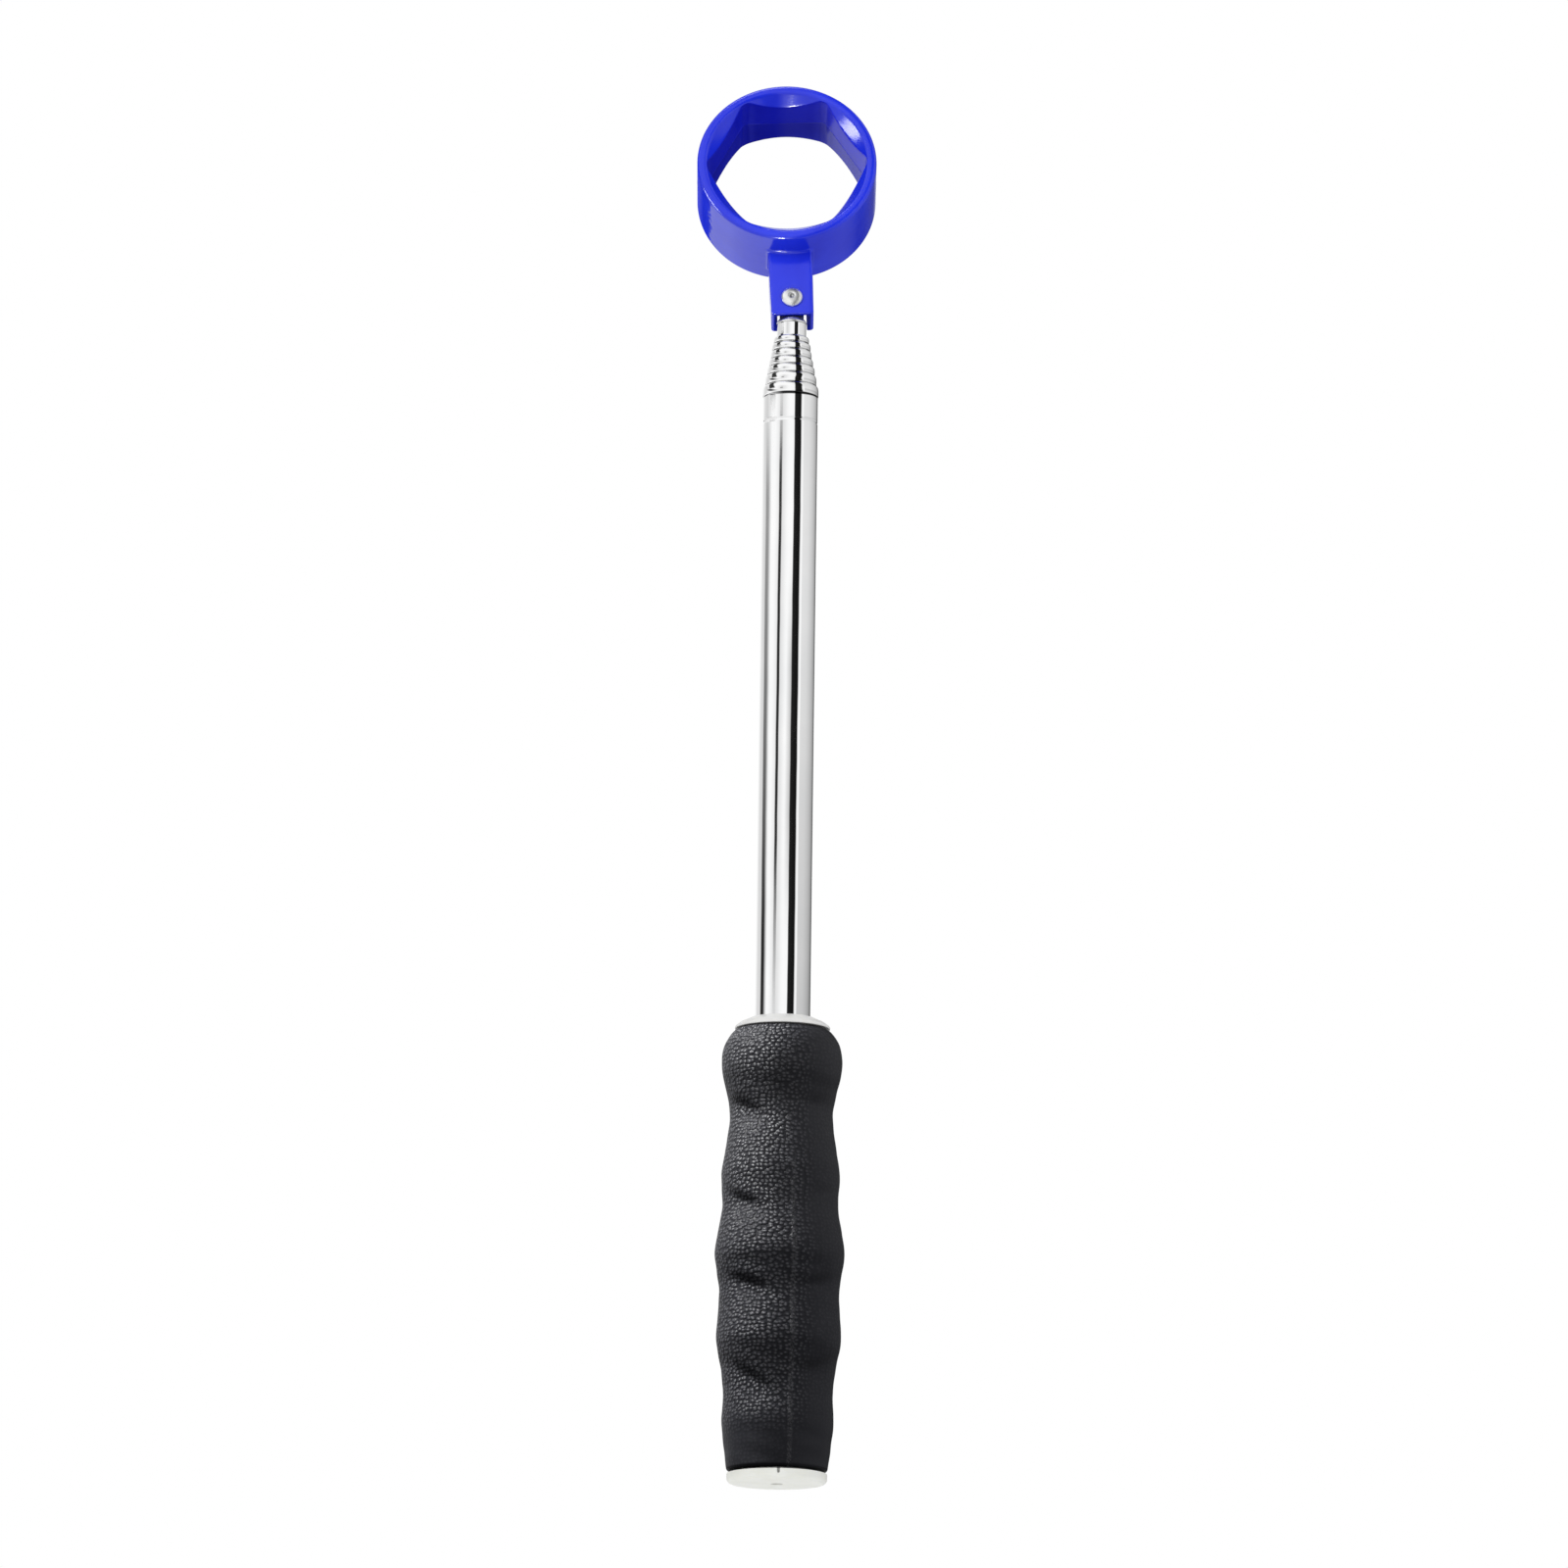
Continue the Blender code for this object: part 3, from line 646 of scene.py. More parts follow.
def grip_material():
    """Moulded rubber skin: pebbles, stronger on one side, their tops polished and lightened by
    painted highlights.
    """
    mat, net = new_material("grip_rubber")
    at = net.at()
    x, y, z = net.split(at)
    # the pebbles lie on a cylinder, so they are laid out in arc length and height
    around = net.azimuth(x, y)
    arc = net.mul(around, GRIP_R)
    sheet = net.out("CombineXYZ", {0: arc, 1: z, 2: 0.0})
    pebble = grip_pebbles(net, sheet)
    # full grain on the left and front, nearly smooth on the right and at the foot
    side = net.remap(around, over=(0.16, 0.62), to=(1.0, 0.12))
    # the grain comes back in full before the middle of the back
    side = net.larger(side, net.remap(around, over=(1.9, 2.5), to=(0.12, 1.0)))
    patch = net.noise(sheet, scale=90.0, rough=0.6)
    patch = net.remap(patch, over=(0.35, 0.62), to=(0.72, 1.0))
    foot = net.remap(z, over=(0.013, 0.024), to=(0.12, 1.0))
    strength = net.mul(net.mul(side, foot), patch)
    # ragged flash along the mould seam, right of the front
    near = net.absolute(net.sub(around, math.radians(SEAM_ANGLE)))
    wobble = net.noise(net.out("CombineXYZ", {2: z}), scale=700.0, detail=2.0, rough=0.7)
    seam = net.remap(near, over=(net.mul(wobble, 0.045), 0.055), to=(1.0, 0.0))
    broken = net.noise(sheet, scale=1500.0, detail=2.0, rough=0.6)
    seam = net.mul(seam, net.remap(broken, over=(0.42, 0.6), to=(0.1, 1.0)))
    seam = net.mul(seam, net.remap(z, over=(0.080, 0.100), to=(1.0, 0.0)))
    fine = net.noise(at, scale=3000.0, rough=0.65)
    height = net.add(net.mul(pebble, strength), net.mul(fine, 0.07))
    height = net.add(height, net.mul(seam, 0.55))
    bump = net.bump(height, strength=1.0, distance=0.00042)

    # painted highlights on the pebble tops, and paler worn edges
    cloud = net.noise(at, scale=45.0, detail=4.0, rough=0.6)
    tint = net.ramp(cloud, [(0.3, (0.0072, 0.0074, 0.0092)), (0.7, (0.0110, 0.0111, 0.0133))])
    top = net.mul(net.remap(pebble, over=(0.5, 0.95)), strength)
    tint = net.mix(net.mul(top, 0.75), tint, (0.060, 0.060, 0.066))
    edge = net.edge_mask(radius=0.0008, over=(0.02, 0.35))
    tint = net.mix(net.mul(edge, 0.3), tint, (0.04, 0.04, 0.042))
    rough = net.remap(cloud, over=(0.3, 0.7), to=(0.40, 0.48))
    rough = net.sub(rough, net.mul(top, 0.10))
    # a light flash line, and dull shade under the hollows' upper lips
    tint = net.mix(net.mul(seam, 0.38), tint, (0.060, 0.060, 0.064))
    upward = net.split(net.normal())[2]
    lip = net.remap(upward, over=(-0.43, -0.09), to=(0.85, 0.0))
    lip = net.mul(lip, net.remap(around, over=(0.10, 0.45), to=(1.0, 0.7)))
    tint = net.mix(lip, tint, (0.0030, 0.0030, 0.0036))
    # painted shade: the sheen is duller towards the foot
    shine = net.remap(z, over=(0.062, 0.100), to=(0.060, 0.125))
    shine = net.mul(shine, net.flip(lip))
    net.surface(net.out("BsdfPrincipled", {
        "Base Color": tint, "Roughness": rough, "Specular IOR Level": shine, "Normal": bump,
    }))
    return mat


def pad_material():
    """Plain soft pad: matt, dusty, slightly mottled."""
    mat, net = new_material("pad_rubber")
    at = net.at()
    cloud = net.noise(at, scale=300.0, detail=5.0, rough=0.65)
    tint = net.ramp(cloud, [(0.3, (0.022, 0.022, 0.023)), (0.7, (0.045, 0.045, 0.046))])
    bump = net.bump(net.noise(at, scale=2400.0), strength=0.3, distance=0.0001)
    rough = net.remap(cloud, over=(0.3, 0.7), to=(0.7, 0.88))
    net.surface(net.out("BsdfPrincipled", {
        "Base Color": tint, "Roughness": rough, "Normal": bump,
    }))
    return mat


CHROME = chrome_material()
STEEL = metal_material("plated_steel", colour=(0.93, 0.935, 0.93), roughness=(0.30, 0.42))
BRASS = metal_material(
    "sleeve_brass", colour=(0.72, 0.52, 0.22), roughness=(0.28, 0.42),
    grain=900.0, stretch=(1.0, 1.0, 0.05),
)
BLUE = blue_material()
WHITE = white_material(
    "white_plastic", light=(0.76, 0.76, 0.75), dark=(0.70, 0.70, 0.69), roughness=(0.28, 0.42),
)
CAP = white_material(
    "cap_plastic", light=srgb(223, 224, 220), dark=srgb(216, 217, 210), roughness=(0.42, 0.58),
    specular=0.35, gate=0.0019,
)
LINER = white_material(
    "liner_plastic", light=(0.68, 0.68, 0.65), dark=(0.58, 0.58, 0.55), roughness=(0.45, 0.6),
)
GRIP = grip_material()
PAD = pad_material()


# =================================================================== tubes

WALL = 0.27
SECTION_RADII = [7.55, 7.025, 6.5, 5.975, 5.45, 4.9, 4.35]  # outermost to innermost
LAST_BEAD_TOP = 344.0
BEAD_GAP = 0.3  # bead's foot above the mouth of the tube around it
SLEEVE_SLIT = math.radians(15)


def groove(radius, height, depth, half, steps=6):
    """Rolled groove as a smooth dip, top to bottom."""
    out = [(radius, height + half + 0.2)]
    for k in range(-steps, steps + 1):
        t = k / steps
        out.append((radius - depth * 0.5 * (1 + math.cos(math.pi * t)), height - half * t))
    out.append((radius, height - half - 0.2))
    return out


def outer_groove(radius, height):
    return groove(radius, height, depth=0.13, half=0.55)


def inner_groove(bore, height):
    """The same groove as it shows in the bore, bottom to top."""
    return groove(bore, height, depth=0.10, half=0.6, steps=4)[::-1]


def bead(radius, bead_r, low, top):
    """Rolled collar: rounds in to its top edge, full below, tucked under at its foot."""
    rise, reach = top - low, bead_r - radius
    crown_r, shoulder_z = radius + 0.10 * reach, low + 0.42 * rise
    out = []
    for k in range(13):
        a = math.radians(90 - 90 * k / 12)
        out.append((
            crown_r + (bead_r - crown_r) * math.cos(a) ** 0.85,
            shoulder_z + (top - shoulder_z) * math.sin(a) ** 0.9,
        ))
    foot = low - 0.02
    for k in range(1, 6):
        a = math.radians(90 * k / 5)
        out.append((bead_r - 0.28 * (1 - math.cos(a)), foot + 0.34 * (1 - math.sin(a))))
    out += [(radius + 0.3 * reach, foot), (radius, foot + 0.02), (radius, foot - 0.15)]
    return out


def outer_tube():
    """Returns the height of its mouth and the radius of its bore."""
    low, high = mm_box("outer_tube")
    radius, mouth, base = high.x, high.z, low.z
    bore = radius - WALL
    outline = (
        [(bore, mouth - 2), (bore, mouth - 0.4)]
        + rounded([
            (bore, mouth - 0.2, 0), (bore, mouth, 0.06),
            (radius, mouth, 0.16), (radius, mouth - 0.3, 0),
        ], steps=4)
        + [(radius, mouth - 0.5), (radius, mouth - 2)]
        + outer_groove(radius, mouth - GROOVE_DROP)
        + rounded([
            (radius, base + 2, 0), (radius, base, 0.08), (bore, base, 0.08), (bore, base + 2, 0),
        ], steps=3)
        + inner_groove(bore, mouth - GROOVE_DROP)
    )
    tube = lathe("outer_tube_fine", outline, 128, True)
    stand_for(tube, "outer_tube", CHROME)
    return mouth, bore


def section_tube(number, radius, mouth):
    """One sliding tube over the mouth of the one around it. Returns the top of its bead."""
    name = f"section_tube_{number}"
    low, high = mm_box(name)
    bead_r, base, top = high.x, low.z, high.z
    bore = radius - WALL
    last = number == len(SECTION_RADII)
    bead_low = mouth + BEAD_GAP
    bead_top = LAST_BEAD_TOP if last else top
    collar = bead(radius, bead_r, bead_low, bead_top)
    # the foot is belled out slightly
    foot = [
        (radius, base + 1.35), (radius, base + 1.1), (radius + 0.05, base + 0.9),
        (radius + 0.12, base + 0.7), (radius + 0.12, base + 0.05), (radius + 0.07, base),
        (bore + 0.05, base), (bore, base + 0.06),
    ]
    if last:
        # runs on plain above its bead
        outline = (
            rounded([
                (bore, top - 1.2, 0), (bore, top, 0.06), (radius, top, 0.13),
                (radius, top - 0.3, 0),
            ], steps=4)
            + [(radius, top - 0.5), (radius, bead_top + 0.6), (radius, bead_top + 0.35),
               (radius + 0.03, bead_top + 0.16), (radius + 0.12, bead_top + 0.05)]
            + collar[1:] + foot
        )
    else:
        outline = (
            [(bore, top - 0.3), (bore + 0.03, top - 0.05), (radius - 0.04, top - 0.005)]
            + collar
            + outer_groove(radius, bead_low - GROOVE_DROP)
            + foot
            + inner_groove(bore, bead_low - GROOVE_DROP)
        )
    tube = lathe(name + "_fine", outline, 112, True)
    stand_for(tube, name, CHROME)
    return bead_top


def friction_sleeve(number, inner, outer):
    """A rolled strip with a slit, its edges broken."""
    name = f"friction_sleeve_{number}"
    low, high = mm_box(name)
    section = rounded([
        (outer, high.z, 0.05), (outer, low.z, 0.05), (inner, low.z, 0.05), (inner, high.z, 0.05),
    ], closed=True, steps=2)
    steps = 84
    start = math.radians(90 + 45 * number)
    loops = []
    for k in range(steps + 1):
        a = start + (math.tau - SLEEVE_SLIT) * k / steps
        loops.append([(r * math.cos(a), r * math.sin(a), z) for r, z in section])
    stand_for(loft(name + "_fine", loops), name, BRASS)


mouth, around_bore = outer_tube()
for number, radius in enumerate(SECTION_RADII, 1):
    mouth = section_tube(number, radius, mouth)
    clearance = 0.05 if number == len(SECTION_RADII) else 0.03
    friction_sleeve(number, inner=radius + clearance, outer=around_bore - 0.03)
    around_bore = radius - WALL


# ==================================================================== head
# in the frame of the head: the pivot is the origin, and Y is the ring's axis

RING_R = 26.9
RING_HALF = 12.2  # half the ring's depth, front to back
FLAT_R = 21.0  # axis to the flats of the six-sided bore
MOUTH_R = 24.3  # radius where the cone at each mouth starts
MOUTH_SLOPE = (MOUTH_R - FLAT_R) / 4.0
OUTER_EDGE, MOUTH_EDGE = 1.15, 0.55  # rounding of the ring's outer and mouth edges

STEM_X, STEM_FRONT, STEM_BACK, STEM_LOW = 6.5, -4.2, 6.4, -5.6
TANG_X, TANG_FRONT, TANG_BACK = 3.6, -1.9, 2.6
FORWARD = Matrix.Rotation(math.radians(90), 4, "X")  # turns +Z to the front


def ring_inner_r(phi, depth):
    """Bore radius: six flats joined to a cone, at an angle and a depth from the mouth."""
    from_middle = RING_HALF - depth
    across_flat = (phi % math.radians(60)) - math.radians(30)
    flats = (FLAT_R - 0.03 + 0.017 * from_middle) / math.cos(across_flat)
    # the corners are moulded with a small radius
    corner_r = 23.85
    flats = (flats + corner_r - math.sqrt((flats - corner_r) ** 2 + 0.05)) / 2 + 0.03
    cone = MOUTH_R - MOUTH_SLOPE * depth
    joined = (flats + cone + math.sqrt((flats - cone) ** 2 + 0.045)) / 2
    # ridge at the parting line
    joined -= 0.07 * math.exp(-((from_middle / 0.16) ** 2))
    if depth < MOUTH_EDGE:
        drop = 1 - math.sqrt(max(0.0, 1 - (1 - depth / MOUTH_EDGE) ** 2))
        joined += MOUTH_EDGE * 0.75 * drop
    return joined


def ring_outer():
    """(r, y) round the outside of the ring's section, front to back."""
    edge = OUTER_EDGE
    turns = [math.radians(90 * k / 8) for k in range(9)]
    section = [
        (RING_R - edge + edge * math.sin(t), -RING_HALF + edge - edge * math.cos(t))
        for t in turns[1:]
    ]
    for k in range(1, 48):
        section.append((RING_R, -RING_HALF + edge + (2 * RING_HALF - 2 * edge) * k / 48))
    section += [
        (RING_R - edge + edge * math.cos(t), RING_HALF - edge + edge * math.sin(t))
        for t in turns
    ]
    # a hair-line flash at mid-depth, and a little draft
    return [
        (r - 0.012 * abs(y) / RING_HALF + 0.02 * math.exp(-((y / 0.12) ** 2)), y)
        for r, y in section
    ]


def ring_mesh():
    """The ring as one closed quad grid: angle round its axis by distance round its section."""
    # finer steps by the stem
    angles = []
    a = -90.0
    while a < 270.0 - 1e-6:
        angles.append(a)
        near = min(abs(a + 90), abs(270 - a))
        a += 0.5 if near < 20 else 0.75

    # depths from a mouth to the middle of the bore
    edge, cone_end = MOUTH_EDGE, 4.6
    depths = [edge * (1 - math.cos(math.radians(90 * k / 6))) for k in range(7)]
    depths += [edge + (cone_end - edge) * k / 26 for k in range(1, 27)]
    depths += [cone_end + (RING_HALF - 0.45 - cone_end) * k / 13 for k in range(1, 14)]
    depths += [RING_HALF - 0.30, RING_HALF - 0.18, RING_HALF - 0.09, RING_HALF]

    outer = ring_outer()
    verts = []
    for phi in np.radians(np.array(angles)):
        back = [(ring_inner_r(phi, d), RING_HALF - d) for d in depths]
        front = [(ring_inner_r(phi, d), -(RING_HALF - d)) for d in reversed(depths[:-1])]
        loop = outer + back + front
        c, s = math.cos(phi), math.sin(phi)
        verts += [(r * c, y, RING_UP + r * s) for r, y in loop]
    count, total = len(loop), len(angles)
    faces = []
    for i in range(total):
        faces += band(i * count, (i + 1) % total * count, count)
    return make_object("ring_head_fine", verts, faces, 50)


def stem_mesh():
    """Stem as a loft that flares into the ring's wall through a small fillet."""
    foot, flare = 0.7, 0.9  # rounding of the foot, and fillet at the ring

    def plan(grow, narrow=0.0):
        return round_rect(
            -STEM_X - grow + narrow, STEM_X + grow - narrow, STEM_FRONT - grow, STEM_BACK + grow,
            0.75 + max(0.0, grow), corner=8, edge=10)

    def level(grow, height):
        """A flat loop, narrowing towards the foot."""
        narrow = 0.22 * max(0.0, 1 - (height - STEM_LOW) / 12.0)
        return [(x, y, height) for x, y in plan(grow, narrow)]

    def draped(grow, gap):
        """A loop that follows the ring's wall, a gap below it."""
        return [(x, y, RING_UP - math.sqrt(RING_R ** 2 - x * x) - gap) for x, y in plan(grow)]

    loops = []
    for k in range(7):
        t = math.radians(90 * k / 6)
        grow = -foot * (1 - math.sin(t)) * 0.9
        loops.append(level(grow, STEM_LOW + foot * (1 - math.cos(t))))
    loops += [level(0.0, z) for z in (-2.0, 1.0, 4.0, 7.0, 10.0, 12.5)]
    for k in range(9):
        gap = flare * (1 - k / 8)
        spread = flare - math.sqrt(max(0.0, flare ** 2 - (flare - gap) ** 2))
        loops.append(draped(spread, gap))
    loops.append(draped(flare, -0.8))
    return loft("stem", loops, 40)


# height and easing of the channel up the back of the stem
POCKET_ROWS = [
    (-7.5, 0.5), (STEM_LOW - 0.02, 0.4), (STEM_LOW + 0.12, 0.2), (STEM_LOW + 0.3, 0.07),
    (STEM_LOW + 0.55, 0.0), (2.0, 0.0), (5.2, 0.0), (5.85, -0.25), (6.0, -0.8),
]


def pocket_plan(ease):
    """Plan of the channel: round corners at the front, lips curling in at the open back."""
    half, lip = 4.95 + ease, 4.35 + ease
    front, corner = -2.6 - ease, 1.3
    out = []
    for centre_x, start in ((-half + corner, 180), (half - corner, 270)):
        for k in range(9):
            t = math.radians(start + 90 * k / 8)
            out.append((centre_x + corner * math.cos(t), front + corner + corner * math.sin(t)))
    right = [(half, 1.2), (half, 3.0)]
    for k in range(1, 7):
        t = k / 6
        right.append((half + (lip - half) * (3 * t * t - 2 * t**3), 3.0 + 2.6 * t))
    right.append((lip, 9.0))
    return out + right + [(0.0, 9.0)] + [(-x, y) for x, y in reversed(right)]


def cross_pin(name, radius, reach):
    """A cylinder along Y through the pivot, for cutting holes."""
    outline = [(0.0, reach), (radius, reach), (radius, -reach), (0.0, -reach)]
    pin = lathe(name, outline, 48, False)
    place(pin, FORWARD)
    return pin


def ring_head():
    ring = ring_mesh()
    stem = stem_mesh()
    loops = [[(x, y, z) for x, y in pocket_plan(ease)] for z, ease in POCKET_ROWS]
    combine(stem, loft("pocket", loops, 40), "DIFFERENCE")
    combine(stem, cross_pin("hole", radius=1.9, reach=30.0), "DIFFERENCE")
    combine(ring, stem, "UNION")
    finish_mesh(ring, 44)
    place(ring, HEAD)
    stand_for(ring, "ring_head", BLUE)
    return ring


# r, height above the seat
RIVET_DOME = [
    (0.0, 0.62), (0.4, 0.64), (0.58, 0.80), (0.68, 1.18), (0.84, 1.33), (1.1, 1.36),
    (1.5, 1.34), (1.95, 1.27), (2.35, 1.15), (2.7, 0.95), (2.95, 0.70), (3.12, 0.42),
    (3.22, 0.16), (3.22, 0.03), (3.14, 0.0), (1.7, 0.0), (1.6, -0.1),
]
RIVET_FOOT = [
    (1.6, 0.1), (1.7, 0.0), (2.62, 0.0), (2.7, -0.08), (2.68, -0.4), (2.45, -0.72),
    (2.05, -0.93), (1.4, -1.04), (0.7, -1.08), (0.0, -1.09),
]


def head_rivet():
    """Domed rivet with a punched centre, its formed foot behind the tang."""
    front, behind = -STEM_FRONT + 0.12, -TANG_BACK - 0.25
    outline = [(r, front + z) for r, z in RIVET_DOME]
    outline += [(r, behind + z) for r, z in RIVET_FOOT]
    rivet = lathe("head_rivet_fine", outline, 96, False, 45)
    place(rivet, HEAD @ FORWARD)
    stand_for(rivet, "head_rivet", STEEL)


# height, inset of the sides, corner radius
TANG_ROWS = [
    (-7.2, 0.0, 0.6), (-6.6, 0.0, 0.8), (-3.0, 0.0, 0.8), (0.0, 0.0, 0.8), (1.2, 0.0, 0.8),
    (1.9, 0.12, 0.8), (2.5, 0.42, 0.7), (2.9, 0.85, 0.6), (3.15, 1.35, 0.5), (3.28, 1.9, 0.3),
]


def tip_fitting():
    """Plug and domed shoulder on the last tube, with a leaning tang."""
    seat = mm_box(f"section_tube_{len(SECTION_RADII)}")[1].z
    outline = [(0.0, seat + 1.76)] + rounded([
        (2.2, seat + 1.74, 0), (3.45, seat + 1.66, 0.5), (4.46, seat + 0.55, 0.8),
        (4.46, seat + 0.03, 0.08), (3.98, seat + 0.03, 0),
    ], steps=6)
    outline += [(3.98, 335.2), (3.8, 334.5), (3.2, 334.0), (0.0, 334.0)]
    fitting = lathe("tip_fitting_fine", outline, 96, False, 40)
    loops = []
    for z, inset, corner_r in TANG_ROWS:
        plan = round_rect(
            -TANG_X + inset, TANG_X - inset, TANG_FRONT + 0.12 * inset, TANG_BACK - 0.12 * inset,
            corner_r, corner=6, edge=4)
        loops.append([(x, y, z) for x, y in plan])
    tang = loft("tang", loops, 40)
    combine(tang, cross_pin("tang_hole", radius=1.75, reach=12.0), "DIFFERENCE")
    place(tang, TANG)
    combine(fitting, tang, "UNION")
    finish_mesh(fitting, 40)
    stand_for(fitting, "tip_fitting", STEEL)


ring = ring_head()
head_rivet()
tip_fitting()


# ================================================================== handle


def top_collar():
    """White collar: thin-edged dome over a narrower skirt, open round the tube."""
    low, high = mm_box("top_collar")
    top, foot = high.z, low.z
    radius, skirt_r, bore, skirt_top = 14.0, 11.0, 8.4, 134.6
    outline = rounded([
        (bore, top, 0.3), (bore + 1.1, top, 0.5), (10.6, top - 0.55, 1.6),
        (12.4, top - 1.3, 1.6), (radius, top - 2.5, 0.5), (radius, skirt_top, 0.12),
        (skirt_r, skirt_top, 0.1), (skirt_r, foot, 0.3), (bore, foot, 0.3),
    ], closed=True, steps=5)
    collar = lathe("top_collar_fine", outline, 128, True, 40)
    stand_for(collar, "top_collar", WHITE)


# (r, z) of the cap's face, from its rim in to the sprue dimple
CAP_FACE = [
    (9.0, 0.0), (6.0, 0.0), (3.6, 0.0), (2.3, 0.0), (1.95, 0.02), (1.75, 0.16), (1.5, 0.52),
    (1.1, 0.75), (0.6, 0.78), (0.42, 0.62), (0.0, 0.60),
]
# height and width share of the notch
NOTCH_ROWS = [(1.55, 0.45), (1.75, 0.8), (2.1, 1.0), (4.0, 1.15)]


def end_cap():
    """Cap with an eased rim, a sprue dimple underneath and a notch in its upper front edge."""
    high = mm_box("end_cap")[1]
    radius, plug_top = high.x, high.z
    outline = [(0.0, 2.0)] + rounded([
        (5.6, 2.0, 0), (5.9, 2.0, 0.3), (5.9, plug_top, 0.2), (7.5, plug_top, 0.4),
        (7.9, plug_top - 1.6, 0.6), (7.9, 3.0, 0.25), (radius, 3.0, 0.22),
        (radius, 0.12, 2.2), (radius - 4.2, 0.0, 0),
    ], steps=6) + CAP_FACE
    cap = lathe("end_cap_fine", outline, 128, False, 45)
    half_width, right = 0.42, 0.45
    loops = []
    for z, share in NOTCH_ROWS:
        half = half_width * share
        plan = round_rect(-half, half, -16.0, -13.1, 0.12, corner=4, edge=2)
        loops.append([(x + right, y, z) for x, y in plan])
    combine(cap, loft("notch", loops, 40), "DIFFERENCE")
    finish_mesh(cap, 42)
    stand_for(cap, "end_cap", CAP)
    return cap


# height, radius of the grip
GRIP_STATIONS = [
    (3.7, 14.75), (5.5, 15.0), (12.0, 15.8), (18.5, 16.4), (25.5, 16.05), (33.0, 16.7),
    (43.2, 18.3), (49.5, 17.9), (56.2, 17.6), (62.0, 18.3), (67.8, 19.05), (74.0, 18.2),
    (82.3, 17.0), (90.8, 17.4), (98.0, 16.4), (108.7, 15.15), (115.5, 16.15), (120.5, 17.35),
    (124.6, 17.75), (129.6, 16.95), (132.7, 15.2), (134.3, 13.75),
]
# height, angle from the front (left is negative), depth, reach up, reach round in degrees,
# slant in mm per degree
HOLLOWS = [
    (108.6, -42.0, 1.20, 3.4, 24.0, -0.090), (80.6, -39.0, 1.30, 3.6, 24.0, -0.110),
    (56.2, -32.0, 1.20, 3.6, 24.0, -0.110), (28.6, -29.0, 1.15, 3.8, 24.0, -0.150),
    (56.5, 38.0, 0.75, 4.0, 24.0, 0.060), (32.0, 40.0, 0.70, 4.2, 24.0, 0.075),
    (83.0, 44.0, 0.45, 4.2, 24.0, 0.060), (110.0, 46.0, 0.40, 4.2, 24.0, 0.050),
    (84.0, 150.0, 0.7, 5.0, 34.0, 0.0), (57.0, 165.0, 0.7, 5.0, 34.0, 0.0),
    (31.0, 175.0, 0.6, 5.0, 34.0, 0.0), (111.0, 170.0, 0.6, 5.0, 34.0, 0.0),
]
# the same columns, with height out of the surface for depth
SWELLS = [
    (97.5, -34.0, 0.45, 7.0, 26.0, -0.05), (70.0, -32.0, 0.35, 6.0, 26.0, -0.06),
    (43.0, -28.0, 0.40, 6.0, 26.0, -0.06), (70.0, 36.0, 0.30, 6.0, 26.0, 0.05),
    (44.0, 38.0, 0.30, 6.0, 26.0, 0.05),
]
GRIP_BORE = 11.3
BACK_SEAM_ANGLE = 193.0


def smooth_stations(heights):
    """Radii at the heights, by a cubic through the stations that keeps their peaks and dips."""
    zs, rs = np.array(GRIP_STATIONS).T
    secant = np.diff(rs) / np.diff(zs)
    tangent = np.concatenate([[secant[0]], (secant[:-1] + secant[1:]) / 2, [secant[-1]]])
    tangent[1:-1][secant[:-1] * secant[1:] <= 0] = 0.0
    index = np.clip(np.searchsorted(zs, heights) - 1, 0, len(zs) - 2)
    h = zs[index + 1] - zs[index]
    t = (heights - zs[index]) / h
    return (
        (2 * t**3 - 3 * t**2 + 1) * rs[index] + (t**3 - 2 * t**2 + t) * h * tangent[index]
        + (-2 * t**3 + 3 * t**2) * rs[index + 1] + (t**3 - t**2) * h * tangent[index + 1]
    )


def grip_relief(radius, height, phi):
    """Adds hollows, swells, unevenness and seams to a grid of radii."""
    degrees = np.degrees(phi)

    def from_angle(angle):
        return (degrees - angle + 180) % 360 - 180

    def lobe(z, angle, up, reach, slant):
        turn = from_angle(angle)
        return turn / reach, (height - z - slant * turn) / up

    for z, angle, depth, *shape in HOLLOWS:
        u, v = lobe(z, angle, *shape)
        # steeper on the upper lip than below
        v = np.where(v > 0, v * 1.35, v * 0.8)
        radius = radius - depth * np.exp(-(np.abs(u) ** 2.4) - np.abs(v) ** 2.2)
    for z, angle, rise, *shape in SWELLS:
        u, v = lobe(z, angle, *shape)
        radius = radius + rise * np.exp(-(u**2) - v**2)
    # soft unevenness of the moulding
    uneven = np.sin(height * 0.9 + 2.1 * np.sin(phi * 2)) * np.cos(phi * 3 + height * 0.13)
    radius = radius + 0.05 * uneven
    # mould seam down the front, a little right of centre, broken and rough
    seam = SEAM_ANGLE + 0.5 * np.sin(height * 0.35)
    rough = 0.5 + 0.5 * np.sin(height * 3.1) * np.sin(height * 1.13 + 1.0)
    fade = np.clip((height - 8) / 8, 0, 1) * np.clip((92 - height) / 12, 0, 1)
    ridge = np.exp(-(((degrees - seam) / 1.5) ** 2))
    radius = radius + (0.05 + 0.09 * rough) * fade * ridge
    # and a straight one down the back
    ridge = np.exp(-((from_angle(BACK_SEAM_ANGLE) / 1.5) ** 2))
    fade = np.clip((height - 5) / 6, 0, 1) * np.clip((128 - height) / 6, 0, 1)
    return radius + (0.05 + 0.07 * rough) * ridge * fade


